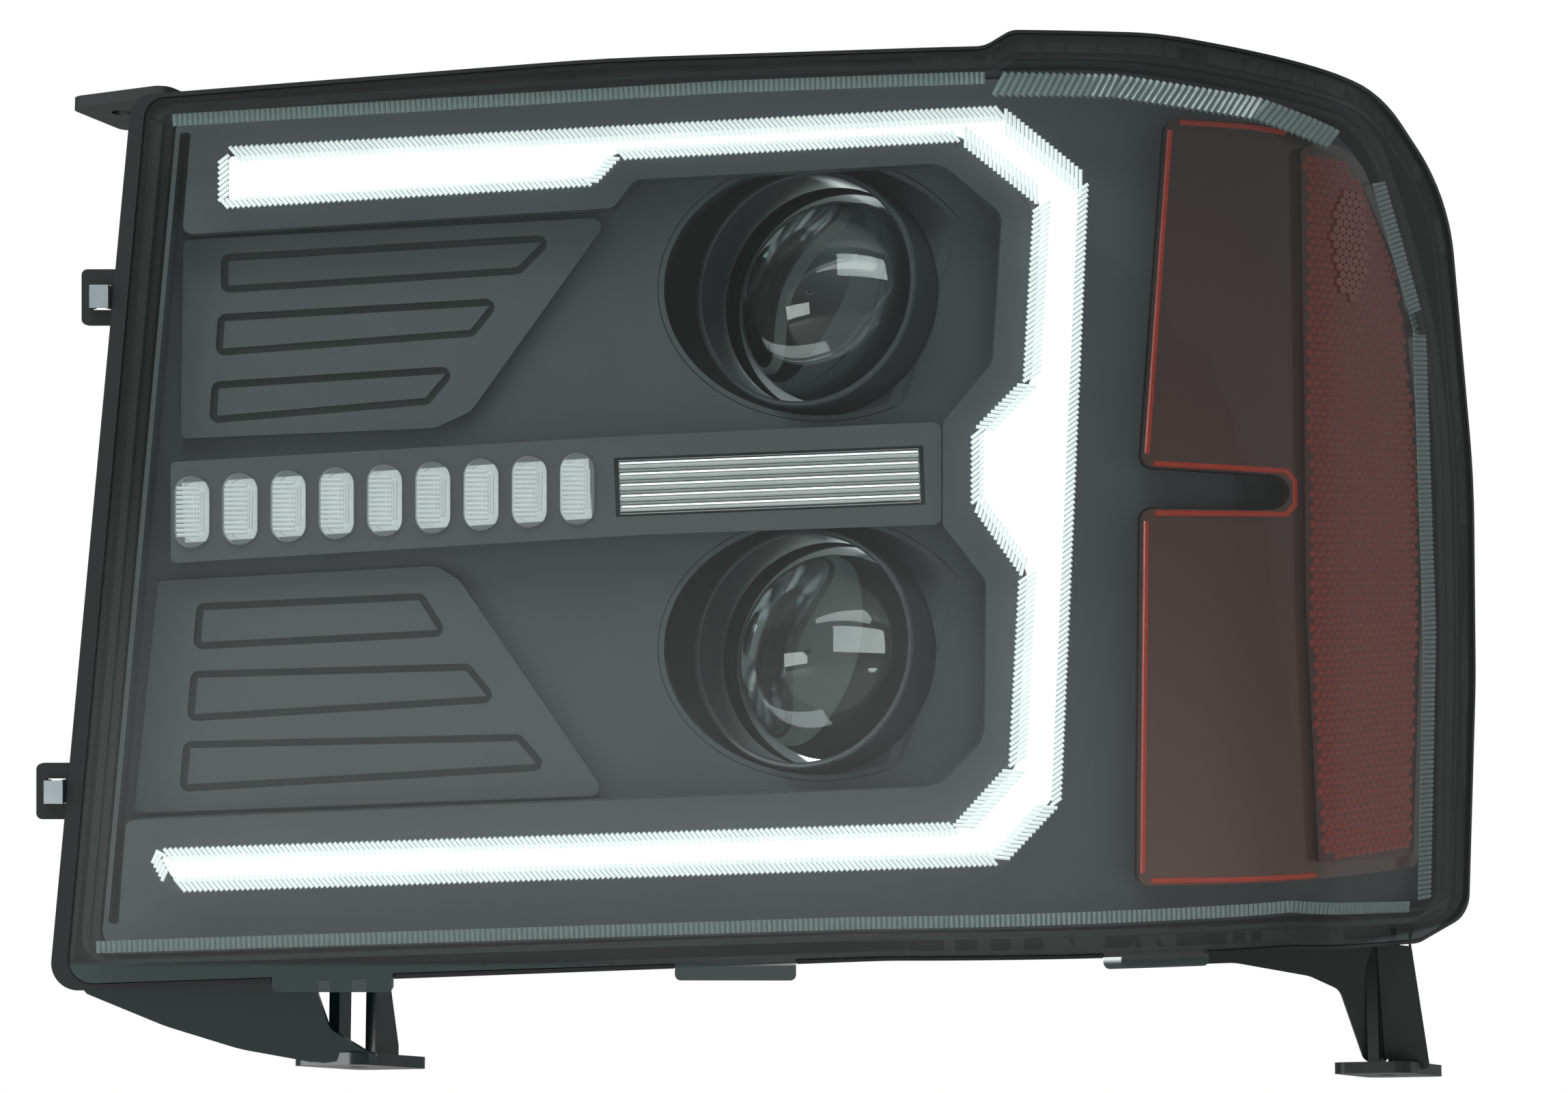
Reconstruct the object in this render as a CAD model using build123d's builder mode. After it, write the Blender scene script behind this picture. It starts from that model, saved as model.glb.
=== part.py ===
from build123d import *
from math import cos, radians, sin
import os

os.makedirs("parts", exist_ok=True)

# Left-hand truck headlamp with two projector modules behind one wrap-around lens.
# Millimetres, in the vehicle's axes: -Y forward along the beam, +X outboard, +Z up.
# The origin is the bolt hole of the inboard foot, at the foot's underside.

# ---------------------------------------------------------------- driving dimensions
SWEEP = 25.0  # degrees that the lamp's face is swept back towards its outboard end
LEAN = 9.0  # degrees that the top of the face leans forward
FACE_ORIGIN = Vector(168.0, -18.0, 165.0)
REACH = 260.0  # half length of the blocks that are trimmed to an outline
FRONT_CLEAR = 40.0  # how far in front of the face a trimming outline starts
THROUGH = 420.0  # how far back a trimming outline runs

LENS_WALL = 2.8
BEZEL_GAP = 3.4  # from the lens's front edge to the bezel, across the face
BEZEL_WALL = 1.6
PLATEAU = 22.0  # depth of the bezel's raised border below the lens's outer surface
FLOOR = 38.0  # depth of the bezel's bay floor
FLANGE_NEAR, FLANGE_FAR = 17.0, 20.0  # lens flange, measured straight back from the face
RIM_NEAR, RIM_FAR = 22.0, 25.0  # housing rim plate, straight back from the face
HOUSING_WALL = 3.0
BUCKET_INSET = 6.0  # from the rim's edge to the housing's side walls

LENS_R = 35.0  # visible radius of a projector lens
LENS_DOME = 21.0
BARREL_R = 37.0
SHROUD_IN, SHROUD_OUT = 38.4, 40.6
UPPER = Vector(163.6, 33.2, 256.5)  # centre of the upper projector lens's rim
LOWER = Vector(154.9, 49.9, 137.6)
CAP_AT = 150.0  # how far behind the lens's rim a rear cap seats

PIVOT_Y, PIVOT_Z = 79.0, 197.0  # aim pivot axis, along X
PIN_R = 4.0
SCREW_X, SCREW_Z = 155.0, 88.0
SCREW_R = 3.0
RUNNING = 0.06  # radial running clearance
BOLT_R = 3.3  # clearance hole for an M6 bolt
FOOT_T = 4.0

PODS = 9
POD_W, POD_H, POD_PITCH = 11.4, 23.8, 16.0
POD_FIRST = (-196.5, 11.5)
POD_RISE = 0.95  # each pod stands this much higher than the one before

# ---------------------------------------------------------------- planes
ACROSS = Vector(cos(radians(SWEEP)), sin(radians(SWEEP)), 0)
OUT = Vector(
    sin(radians(SWEEP)) * cos(radians(LEAN)),
    -cos(radians(SWEEP)) * cos(radians(LEAN)),
    -sin(radians(LEAN)),
)
UP = OUT.cross(ACROSS)
FACE = Plane(FACE_ORIGIN, x_dir=ACROSS, z_dir=OUT)  # u across, v up, z out of the lamp
PLAN = Plane(FACE_ORIGIN, x_dir=ACROSS, z_dir=UP)  # u across, w into the lamp


def heading(u, v, w):
    """Direction from its shares across, up and into the lamp."""
    return ACROSS * u + UP * v - OUT * w


def place(u, v, w):
    """Point from its distances across, up and into the lamp."""
    return FACE_ORIGIN + heading(u, v, w)


def beam(centre, back):
    """Plane square to the beam, a distance behind a lens's rim, facing backwards."""
    return Plane(centre + Vector(0, back, 0), x_dir=(-1, 0, 0), z_dir=(0, 1, 0))


# ---------------------------------------------------------------- outlines, seen square to the face
# Each is a closed run of corners (u, v) with a rounding radius at each corner.
LENS_EDGE = [
    (-230, -136.5, 9), (-204.3, 144, 7), (-20, 155, 800), (110, 159.3, 250), (203, 147.5, 28),
    (238, 78, 250), (242, -30, 700), (239.5, -134, 8), (172, -126.3, 60), (20, -128.5, 400),
]
RIM_EDGE = [
    (-243, -147, 9), (-215.5, 149, 8), (-60, 161, 800), (66, 165, 10), (75, 170.5, 8),
    (125, 170.8, 150), (210, 159.5, 40), (243, 128, 60), (256, 25, 300), (257, -50, 300),
    (253.5, -136, 10), (228, -142.5, 12), (172, -136.3, 20), (34, -136.5, 300),
]
FLANGE_EDGE = [
    (-237, -144.5, 8), (-210.5, 147.5, 7), (-60, 159.5, 800), (66, 163.5, 10), (75, 169, 8),
    (125, 169.3, 150), (209, 158, 40), (241.5, 127, 60), (254.5, 25, 300), (255.5, -50, 300),
    (252, -134.5, 10), (228, -141, 12), (172, -134.8, 20), (34, -135, 300),
]
LIGHT_BAR = [
    (-186.5, 110.5, 4), (-186.5, 131.8, 5), (72, 145.3, 8), (101, 122.5, 8), (91.8, -85, 8),
    (72.5, -105.2, 8), (-203, -114.2, 9), (-210, -101, 4), (-205, -98.8, 3), (56, -90, 8),
    (73.5, -71, 8), (76.8, -9, 6), (61, 13, 6), (61, 38, 6), (78.2, 55.5, 6),
    (81.6, 113, 8), (57, 132.3, 12), (-54, 126.5, 5), (-62, 118, 4),
]
BAY = [
    (-220.5, -125, 1), (-218, -90.7, 3), (51, -79.3, 12), (66.3, -64, 12), (67, -11.5, 6),
    (52.5, 7, 4), (52.5, 41, 4), (69, 61, 6), (72.2, 110, 6), (52, 126.7, 12),
    (-49.5, 121.3, 5), (-56.5, 112, 4), (-199.3, 103.3, 3), (-196.5, 137, 1), (-200, 137, 1),
    (-223.9, -125, 1),
]
CENTRE_BAR = [
    (-203.5, -5.5, 2), (-203.5, 28, 2), (-45, 37, 200), (52.2, 41.3, 3), (52.2, 7.3, 3),
    (-45, 4, 200),
]
UPPER_PANEL = [(-201.5, 36, 2), (-200.5, 102.3, 2), (-58, 109.8, 3), (-104.5, 45, 8), (-116.5, 39.5, 8)]
LOWER_PANEL = [(-217, -89, 2), (-209, -11.5, 2), (-116, -6.5, 6), (-108.5, -11, 6), (-59, -83, 3)]
UPPER_LOUVRES = [
    [(-188, 84.5), (-188, 97.5), (-74.5, 104.3), (-88, 90.8)],
    [(-190, 63.5), (-189, 77.5), (-93, 83), (-103.5, 70)],
    [(-192, 41), (-191, 55), (-107.5, 60.4), (-118.5, 47.3)],
]
LOWER_LOUVRES = [
    [(-197.5, -34.5), (-196, -19), (-120.5, -15.5), (-111.5, -30)],
    [(-199.5, -58.5), (-198, -41.5), (-105, -39), (-94.5, -52)],
    [(-202, -82), (-200.5, -65), (-88, -62.5), (-77.5, -74.6)],
]
AMBER = [
    (117.3, -112, 3), (118.5, 12.6, 4), (170.5, 12.2, 7), (170.5, 23.8, 7), (118.5, 26.4, 4),
    (127, 142, 4), (157, 141.5, 60), (199, 136, 16), (221.5, 98, 60), (233, 30, 300),
    (232.5, -20, 300), (227.5, -115, 4), (184, -113, 100),
]
REFLEX = [
    (181, -107, 2), (176, -21, 300), (175.2, 57, 300), (173.8, 135, 3), (195.5, 132.5, 14),
    (217.5, 97, 60), (228.5, 30, 300), (228, -20, 300), (224, -110, 3),
]

# Plan of the lens's outer surface: corners (u, w) and the radii that round the two inner ones.
PROFILE = [Vector(-262, 4), Vector(88, 0), Vector(176, 34), Vector(262, 189.9)]
PROFILE_RADII = [240.0, 100.0]
# Plan of the housing's back, from the inboard end: a shallow wall, the deep part behind the
# projectors, square to the beam, and the slanting wall behind the turn signal.
BACK = [(-238, 95), (-40, 150), (0, 222), (150, 153), (248, 215)]


def outline(corners, grow=0.0):
    """Flat region inside a run of rounded corners, grown or shrunk by a margin."""
    with BuildSketch() as region:
        with BuildLine():
            FilletPolyline(*[(u, v) for u, v, _ in corners], radius=[r for _, _, r in corners], close=True)
        make_face()
        if grow:
            offset(amount=grow, kind=Kind.INTERSECTION)
    return region.sketch


def profile_points(depth):
    """The lens's plan moved a depth into the lamp, square to the surface."""
    moved = []
    for i, point in enumerate(PROFILE):
        after = (PROFILE[min(i + 1, 3)] - PROFILE[min(i, 2)]).normalized()
        before = (point - PROFILE[i - 1]).normalized() if i else after
        left_before = Vector(-before.Y, before.X)
        left_after = Vector(-after.Y, after.X)
        share = depth / (1 + left_before.dot(left_after))
        moved.append(point + (left_before + left_after) * share)
    return moved


def depth_line(depth, square):
    """Corners and radii of the plan at a depth, square to the surface or straight back."""
    if square:
        return profile_points(depth), [r - depth for r in PROFILE_RADII]
    return [point + Vector(0, depth) for point in PROFILE], PROFILE_RADII


def layer(region, near, far, square=True):
    """Block inside an outline, between two depths below the lens's outer surface."""
    near_points, near_radii = depth_line(near, square)
    far_points, far_radii = depth_line(far, square)
    with BuildPart() as block:
        with BuildSketch(PLAN):
            with BuildLine():
                front = FilletPolyline(*near_points, radius=near_radii)
                back = FilletPolyline(*far_points, radius=far_radii)
                Line(front @ 0, back @ 0)
                Line(front @ 1, back @ 1)
            make_face()
        extrude(amount=REACH, both=True)
        with BuildSketch(FACE.offset(FRONT_CLEAR)):
            add(region)
        extrude(amount=-THROUGH, mode=Mode.INTERSECT)
    return block.part


def bucket(region, near, wall):
    """Block from a depth straight back from the face to the housing's back, less a wall."""
    points, radii = depth_line(near, False)
    with BuildPart() as block:
        with BuildSketch(PLAN):
            with BuildLine():
                front = FilletPolyline(*points, radius=radii)
                back = Polyline(*[(u, w - wall * 1.1) for u, w in BACK])
                Line(front @ 0, back @ 0)
                Line(front @ 1, back @ 1)
            make_face()
        extrude(amount=REACH, both=True)
        with BuildSketch(FACE.offset(FRONT_CLEAR)):
            add(region)
        extrude(amount=-THROUGH, mode=Mode.INTERSECT)
    return block.part


def prism(region, near, far):
    """Block inside an outline, between two flat depths behind the face plane."""
    with BuildPart() as block:
        with BuildSketch(FACE.offset(-near)):
            add(region)
        extrude(amount=near - far)
    return block.part


def turned(centre, corners):
    """Ring or disc turned about a beam axis from corners (radius, distance behind the rim)."""
    with BuildPart() as lathe:
        with BuildSketch(Plane(centre, x_dir=(1, 0, 0), z_dir=(0, 0, 1))):
            with BuildLine():
                Polyline(*corners, close=True)
            make_face()
        revolve(axis=Axis(centre, (0, 1, 0)))
    return lathe.part


def write(part, name):
    """Label a finished piece and write its STEP file."""
    part.label = name
    export_step(part, f"parts/{name}.step")


# ---------------------------------------------------------------- outer lens and its seal
lens_block = layer(outline(LENS_EDGE), 0, FLANGE_FAR, False)
lens_core = layer(outline(LENS_EDGE, -LENS_WALL), LENS_WALL, FLANGE_FAR + 40)
flange = layer(outline(FLANGE_EDGE), FLANGE_NEAR, FLANGE_FAR, False)
flange_core = layer(outline(LENS_EDGE, -LENS_WALL), FLANGE_NEAR - 5, FLANGE_FAR + 5, False)
with BuildSketch() as lug_sketch:
    for lug_u, lug_v, lug_w, lug_h in ((-149, -143, 40, 8), (-16, -139, 40, 8), (124, -136.5, 36, 7)):
        with Locations((lug_u, lug_v)):
            RectangleRounded(lug_w, lug_h, 2)
lugs = layer(lug_sketch.sketch, FLANGE_NEAR, FLANGE_FAR, False)
with BuildPart() as outer_lens:
    add(lens_block)
    add(lens_core, mode=Mode.SUBTRACT)
    add(flange)
    add(lugs)
    add(flange_core, mode=Mode.SUBTRACT)
write(outer_lens.part, "outer_lens")

seal_block = layer(outline(FLANGE_EDGE, -1.5), FLANGE_FAR, RIM_NEAR, False)
seal_core = layer(outline(FLANGE_EDGE, -5.5), FLANGE_FAR - 5, RIM_NEAR + 5, False)
with BuildPart() as lens_seal:
    add(seal_block)
    add(seal_core, mode=Mode.SUBTRACT)
write(lens_seal.part, "lens_seal")

# ---------------------------------------------------------------- housing
# Bolt tab at the upper inboard corner, ears with clip windows, cap collars, pivot posts.
TAB = Vector(-43, -92, 320)
EARS = [(-226, 82.5), (-241, -81)]  # centres of the two ears, across and up the face
EAR_DEPTH = 20.5
PIVOT_POST_X = (100.0, 224.0)  # inner faces of the two posts that carry the aim pivots
POST_T = 5.0
POST_L = 100.5  # from the pivot back to the rear wall
SCREW_BOSS_Y = 196.0
TURN_WALL = (186.0, 10.0, 175.8)  # where the turn bulb's axis meets the slanting back wall
turn_back = heading(-0.534, 0, 0.845)
TURN = Plane(place(*TURN_WALL), x_dir=UP, z_dir=turn_back)
SOCKET_R = 13.0
BOSSES = [(-180, 71), (-185, -57), (-110, 15)]  # bezel screws, hidden by the panels
drive_wall = heading(0.963, 0, 0.268)
DRIVER = Plane(place(-150, -40, 119.4), x_dir=drive_wall, z_dir=heading(-0.268, 0, 0.963))
INLET = Plane(place(-150, 55, 119.4), x_dir=drive_wall, z_dir=heading(-0.268, 0, 0.963))
VENTS = [(-95, 100), (-95, -100)]

rim_plate = layer(outline(RIM_EDGE), RIM_NEAR, RIM_FAR, False)
rim_lip = layer(outline(RIM_EDGE), FLANGE_NEAR + 0.6, RIM_FAR, False)
rim_lip_core = layer(outline(FLANGE_EDGE, 0.35), FLANGE_NEAR - 5, RIM_NEAR, False)
rim_opening = layer(outline(RIM_EDGE, -BUCKET_INSET - HOUSING_WALL), FLANGE_NEAR - 5, RIM_FAR + 5, False)
with BuildSketch() as lug_room_sketch:
    add(lug_sketch.sketch)
    offset(amount=0.3, kind=Kind.INTERSECTION)
lug_room = layer(lug_room_sketch.sketch, FLANGE_NEAR - 5, FLANGE_FAR + 0.3, False)
shell_outer = bucket(outline(RIM_EDGE, -BUCKET_INSET), RIM_NEAR, 0)
shell_inner = bucket(outline(RIM_EDGE, -BUCKET_INSET - HOUSING_WALL), RIM_NEAR - 60, HOUSING_WALL)

with BuildSketch() as ear_sketch:
    with Locations(*EARS):
        RectangleRounded(13, 18.5, 2)
        Rectangle(6.5, 8.5, mode=Mode.SUBTRACT)
ears = layer(ear_sketch.sketch, EAR_DEPTH, EAR_DEPTH + 5, False)


def ring(plane, inner, outer, depth):
    """Plain ring that starts on a plane and grows along its normal."""
    with BuildPart() as band:
        with BuildSketch(plane):
            Circle(outer)
            Circle(inner, mode=Mode.SUBTRACT)
        extrude(amount=depth)
    return band.part


def rod(plane, radius, depth):
    """Plain cylinder that starts on a plane and grows along its normal."""
    with BuildPart() as bar:
        with BuildSketch(plane):
            Circle(radius)
        extrude(amount=depth)
    return bar.part


def behind(x, z, y):
    """Plane square to the beam at a point, facing backwards."""
    return Plane((x, y, z), x_dir=(-1, 0, 0), z_dir=(0, 1, 0))


def skin(u):
    """Depth of the lens's outer surface below the face plane, on its flat inboard part."""
    slope = (PROFILE[1].Y - PROFILE[0].Y) / (PROFILE[1].X - PROFILE[0].X)
    return PROFILE[0].Y + slope * (u - PROFILE[0].X)


def back_wall(u):
    """Depth of the housing's shallow back wall below the face plane."""
    slope = (BACK[1][1] - BACK[0][1]) / (BACK[1][0] - BACK[0][0])
    return BACK[0][1] + slope * (u - BACK[0][0])


def facing(u, v, w):
    """Plane parallel to the face, with its origin at a point."""
    return Plane(place(u, v, w), x_dir=ACROSS, z_dir=OUT)


LUGS = 3  # bayonet lugs on each rear cap, and the notches that let them in
NOTCH_ARC, LUG_ARC, LUG_TURN = 30.0, 22.0, 60.0


def sector(inner, outer, arc):
    """Ring sector centred on the local X axis."""
    with BuildSketch() as wedge:
        with BuildLine():
            inside = CenterArc((0, 0), inner, -arc / 2, arc)
            outside = CenterArc((0, 0), outer, -arc / 2, arc)
            Line(inside @ 0, outside @ 0)
            Line(inside @ 1, outside @ 1)
        make_face()
    return wedge.sketch


COLLAR = [
    (27.6, CAP_AT - 10), (31, CAP_AT - 10), (31, CAP_AT - 24), (34, CAP_AT - 24),
    (34, CAP_AT), (31, CAP_AT), (31, CAP_AT - 6), (27.6, CAP_AT - 6),
]
cap_rings = []
for centre in (UPPER, LOWER):
    with BuildPart() as notched:
        add(turned(centre, COLLAR))
        with BuildSketch(beam(centre, CAP_AT - 11)):
            for turn in range(LUGS):
                with Locations(Rotation(0, 0, LUG_TURN + turn * 360 / LUGS)):
                    add(sector(26, 30.8, NOTCH_ARC))
        extrude(amount=6, mode=Mode.SUBTRACT)
    cap_rings.append(notched.part)

with BuildPart() as tab:
    with BuildSketch(Plane(TAB, x_dir=(1, 0, 0), z_dir=(0, 0, 1))):
        with Locations((6, 5)):
            RectangleRounded(38, 34, 5)
        Circle(BOLT_R, mode=Mode.SUBTRACT)
    extrude(amount=-FOOT_T)

with BuildPart() as posts:
    for inner_x, side in ((PIVOT_POST_X[0], -1), (PIVOT_POST_X[1], 1)):
        with BuildSketch(Plane((inner_x, PIVOT_Y, PIVOT_Z), x_dir=(0, 1, 0), z_dir=(1, 0, 0))):
            with Locations((POST_L / 2, 0)):
                Rectangle(POST_L, 27)
            Circle(13.5)
            Circle(7, mode=Mode.SUBTRACT)
        extrude(amount=side * POST_T)

with BuildPart() as housing_shell:
    add(shell_outer)
    add(tab.part)
    add(shell_inner, mode=Mode.SUBTRACT)
    for centre in (UPPER, LOWER):
        add(rod(beam(centre, CAP_AT - 40), 33, 80), mode=Mode.SUBTRACT)
    add(rod(TURN.offset(-20), SOCKET_R + 1.5, 40), mode=Mode.SUBTRACT)
    add(rod(behind(SCREW_X, SCREW_Z, SCREW_BOSS_Y - 30), 6, 60), mode=Mode.SUBTRACT)
    for cap_ring in cap_rings:
        add(cap_ring)
    add(ring(TURN.offset(-9), SOCKET_R + 0.3, SOCKET_R + 3.5, 15))
    add(ring(behind(SCREW_X, SCREW_Z, SCREW_BOSS_Y - 8), SCREW_R + RUNNING, 8, 16))
    add(posts.part)
    for boss_u, boss_v in BOSSES:
        boss_top = FLOOR + 2.75 + skin(boss_u)
        add(rod(facing(boss_u, boss_v, boss_top), 5.5, boss_top - back_wall(boss_u) + 1.5))
    add(rim_plate)
    add(rim_lip)
    add(rim_lip_core, mode=Mode.SUBTRACT)
    add(rim_opening, mode=Mode.SUBTRACT)
    add(lug_room, mode=Mode.SUBTRACT)
    add(ears)
    for boss_u, boss_v in BOSSES:
        add(rod(facing(boss_u, boss_v, FLOOR), 2, -30), mode=Mode.SUBTRACT)
write(housing_shell.part, "housing_shell")

# ---------------------------------------------------------------- bezel
BOWL_CENTRE_U, BOWL_WIDE, BOWL_TALL = 12.2, 52.4, 42.4
BOWL_WALL = 1.8
FOOT_FLOOR = 1.4  # thickness of the ring that closes a bowl's foot round its shroud
BOWLS = [(UPPER, 86.2), (LOWER, -34.0)]  # each bowl's lens and its height up the face
SHROUD_BACK, SHROUD_FRONT = -6.5, -26.0


def oval(height, wall):
    """Outline of a bowl's mouth in the bay floor, grown by a wall."""
    with BuildSketch() as mouth:
        with Locations((BOWL_CENTRE_U, height)):
            Ellipse(BOWL_WIDE + wall, BOWL_TALL + wall)
    return mouth.sketch


def recess(centre, height, wall, top, lift):
    """Oval block sunk square to the face, ending on a plane square to the beam at a shroud's back."""
    with BuildPart() as sunk:
        add(prism(oval(height, wall), top, FLOOR + 50))
        add(rod(beam(centre, SHROUD_BACK - lift), 130, 120), mode=Mode.SUBTRACT)
    return sunk.part


bezel_block = layer(outline(LENS_EDGE, -BEZEL_GAP), PLATEAU, FLOOR + 2.5)
bay_pocket = layer(outline(BAY), PLATEAU - 10, FLOOR)
with BuildSketch() as hollow_sketch:
    add(outline(LENS_EDGE, -BEZEL_GAP - BEZEL_WALL))
    add(outline(BAY, BEZEL_WALL), mode=Mode.SUBTRACT)
bezel_hollow = layer(hollow_sketch.sketch, PLATEAU + 2.5, FLOOR + 12)
amber_opening = layer(outline(AMBER, 0.5), -5, FLOOR + 30)
with BuildPart() as main_bezel:
    add(bezel_block)
    add(bay_pocket, mode=Mode.SUBTRACT)
    add(bezel_hollow, mode=Mode.SUBTRACT)
    add(amber_opening, mode=Mode.SUBTRACT)
    add(layer(outline(LENS_EDGE, 5), 48, 150, False), mode=Mode.SUBTRACT)
    for centre, height in BOWLS:
        add(recess(centre, height, BOWL_WALL + 0.3, FLOOR - 1.5, 0), mode=Mode.SUBTRACT)
    for boss_u, boss_v in BOSSES:
        add(rod(facing(boss_u, boss_v, FLOOR - 5), 2.4, -20), mode=Mode.SUBTRACT)
write(main_bezel.part, "main_bezel")

for name, (centre, height) in zip(("upper_bowl", "lower_bowl"), BOWLS):
    with BuildPart() as bowl:
        add(recess(centre, height, BOWL_WALL, FLOOR + 1.2, 0.1))
        add(recess(centre, height, 0, FLOOR - 1, FOOT_FLOOR + 0.1), mode=Mode.SUBTRACT)
        add(rod(beam(centre, SHROUD_BACK - 5), SHROUD_OUT + 0.25, 7), mode=Mode.SUBTRACT)
    write(bowl.part, name)

for name, centre in (("upper_shroud", UPPER), ("lower_shroud", LOWER)):
    tube = [
        (SHROUD_IN, SHROUD_BACK), (SHROUD_OUT, SHROUD_BACK), (SHROUD_OUT, SHROUD_FRONT + 0.6),
        (SHROUD_OUT - 0.6, SHROUD_FRONT), (SHROUD_IN + 0.6, SHROUD_FRONT), (SHROUD_IN, SHROUD_FRONT + 0.6),
    ]
    write(turned(centre, tube), name)

PANEL_TOP = 33.5
for name, corners, louvres in (
    ("upper_louvre_panel", UPPER_PANEL, UPPER_LOUVRES),
    ("lower_louvre_panel", LOWER_PANEL, LOWER_LOUVRES),
):
    with BuildPart() as panel:
        add(layer(outline(corners), PANEL_TOP, PANEL_TOP + 4))
        add(layer(outline(corners, -2), PANEL_TOP + 3.2, FLOOR + 5), mode=Mode.SUBTRACT)
        for louvre in louvres:
            pocket = outline([(u, v, 3) for u, v in louvre])
            add(layer(pocket, PANEL_TOP - 5, PANEL_TOP + 1.7), mode=Mode.SUBTRACT)
            raised = outline([(u, v, 2) for u, v in louvre], -2.4)
            add(layer(raised, PANEL_TOP + 0.9, PANEL_TOP + 2.2))
    write(panel.part, name)

BAR_TOP = 24.5
pod_places = [
    (POD_FIRST[0] + POD_PITCH * i, POD_FIRST[1] + POD_RISE * i) for i in range(PODS)
]
CHROME_AT, CHROME_L, CHROME_H = (-4.8, 21.6), 99.6, 18.0
CHROME_TILT = 2.3  # degrees, to follow the centre bar


def slots(grow):
    """One upright slot for each light pod."""
    with BuildSketch() as row:
        with Locations(*pod_places):
            SlotOverall(POD_H + 2 * grow, POD_W + 2 * grow, rotation=90)
    return row.sketch


with BuildSketch() as chrome_sketch:
    with Locations(CHROME_AT):
        Rectangle(CHROME_L, CHROME_H, rotation=CHROME_TILT)
with BuildPart() as centre_bar:
    add(layer(outline(CENTRE_BAR), BAR_TOP, FLOOR - 0.02))
    add(layer(outline(CENTRE_BAR, -2), BAR_TOP + 6, FLOOR + 2), mode=Mode.SUBTRACT)
    add(layer(slots(0.15), BAR_TOP - 5, FLOOR + 2), mode=Mode.SUBTRACT)
    with BuildSketch() as recess_sketch:
        with Locations(CHROME_AT):
            Rectangle(CHROME_L + 3, CHROME_H + 1.6, rotation=CHROME_TILT)
    add(layer(recess_sketch.sketch, BAR_TOP - 5, BAR_TOP + 4.2), mode=Mode.SUBTRACT)
write(centre_bar.part, "centre_bar")

with BuildPart() as led_pods:
    add(layer(slots(0), BAR_TOP - 1.2, BAR_TOP + 6))
    add(layer(slots(-2), BAR_TOP + 1.5, BAR_TOP + 9), mode=Mode.SUBTRACT)
write(led_pods.part, "led_pods")

with BuildSketch() as pod_board_sketch:
    with Locations((POD_FIRST[0] + POD_PITCH * (PODS - 1) / 2, POD_FIRST[1] + POD_RISE * (PODS - 1) / 2)):
        Rectangle(136, 20, rotation=3.4)
with BuildPart() as pod_led_board:
    add(layer(pod_board_sketch.sketch, FLOOR - 5.5, FLOOR - 4))
    with BuildSketch() as chips:
        with Locations(*pod_places):
            Rectangle(3, 3)
            with Locations((0, 6), (0, -6)):
                Rectangle(3, 3)
    add(layer(chips.sketch, FLOOR - 6.4, FLOOR - 5.4))
write(pod_led_board.part, "pod_led_board")

RIBS, RIB_PITCH = 5, 3.6
with BuildPart() as chrome_trim:
    add(layer(chrome_sketch.sketch, BAR_TOP + 2.8, BAR_TOP + 4.1))
    for rib_w, rib_top in ((2.9, 1.4), (2.2, 0.3), (1.3, -0.5)):
        with BuildSketch() as ribs:
            with Locations(Location((*CHROME_AT, 0), (0, 0, CHROME_TILT))):
                with GridLocations(1, RIB_PITCH, 1, RIBS):
                    Rectangle(CHROME_L, rib_w)
        add(layer(ribs.sketch, BAR_TOP + rib_top, BAR_TOP + 3))
write(chrome_trim.part, "chrome_trim")

# ---------------------------------------------------------------- light bar
BAR_WALL, BAR_FRONT = 2.4, 12.0
with BuildPart() as light_bar_lens:
    add(layer(outline(LIGHT_BAR), BAR_FRONT, PLATEAU - 0.02))
    add(layer(outline(LIGHT_BAR, -BAR_WALL), BAR_FRONT + BAR_WALL, PLATEAU + 5), mode=Mode.SUBTRACT)
write(light_bar_lens.part, "light_bar_lens")
with BuildPart() as light_bar_diffuser:
    add(layer(outline(LIGHT_BAR, -BAR_WALL - 1.2), BAR_FRONT + BAR_WALL + 0.3, BAR_FRONT + BAR_WALL + 2.3))
write(light_bar_diffuser.part, "light_bar_diffuser")
with BuildPart() as light_bar_board:
    add(layer(outline(LIGHT_BAR, -BAR_WALL - 1.2), PLATEAU - 2.2, PLATEAU - 0.7))
write(light_bar_board.part, "light_bar_board")

# ---------------------------------------------------------------- turn signal
AMBER_NEAR, AMBER_T = 8.0, 2.6
TURN_BOWL = [(121.5, -110, 6), (129, 138, 6), (194, 132, 10), (206, -110, 6)]
FINGER = [(105, 10.5, 1), (173, 10.5, 1), (173, 26, 1), (105, 28, 1)]  # room for the bezel's finger
with BuildPart() as amber_lens:
    add(layer(outline(AMBER), AMBER_NEAR, AMBER_NEAR + 14))
    add(layer(outline(AMBER, -AMBER_T), AMBER_NEAR + AMBER_T, AMBER_NEAR + 30), mode=Mode.SUBTRACT)
write(amber_lens.part, "amber_lens")
side_reflex = layer(outline(REFLEX), AMBER_NEAR - 2.5, AMBER_NEAR - 0.05)
write(side_reflex, "side_reflex")
with BuildPart() as turn_reflector:
    add(layer(outline(TURN_BOWL), AMBER_NEAR + 14.05, 38))
    add(layer(outline(TURN_BOWL, -1.8), AMBER_NEAR, 36.2), mode=Mode.SUBTRACT)
    add(rod(TURN.offset(-80), 14, 90), mode=Mode.SUBTRACT)
    add(layer(outline(FINGER), 10, 26), mode=Mode.SUBTRACT)
write(turn_reflector.part, "turn_reflector")

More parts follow.
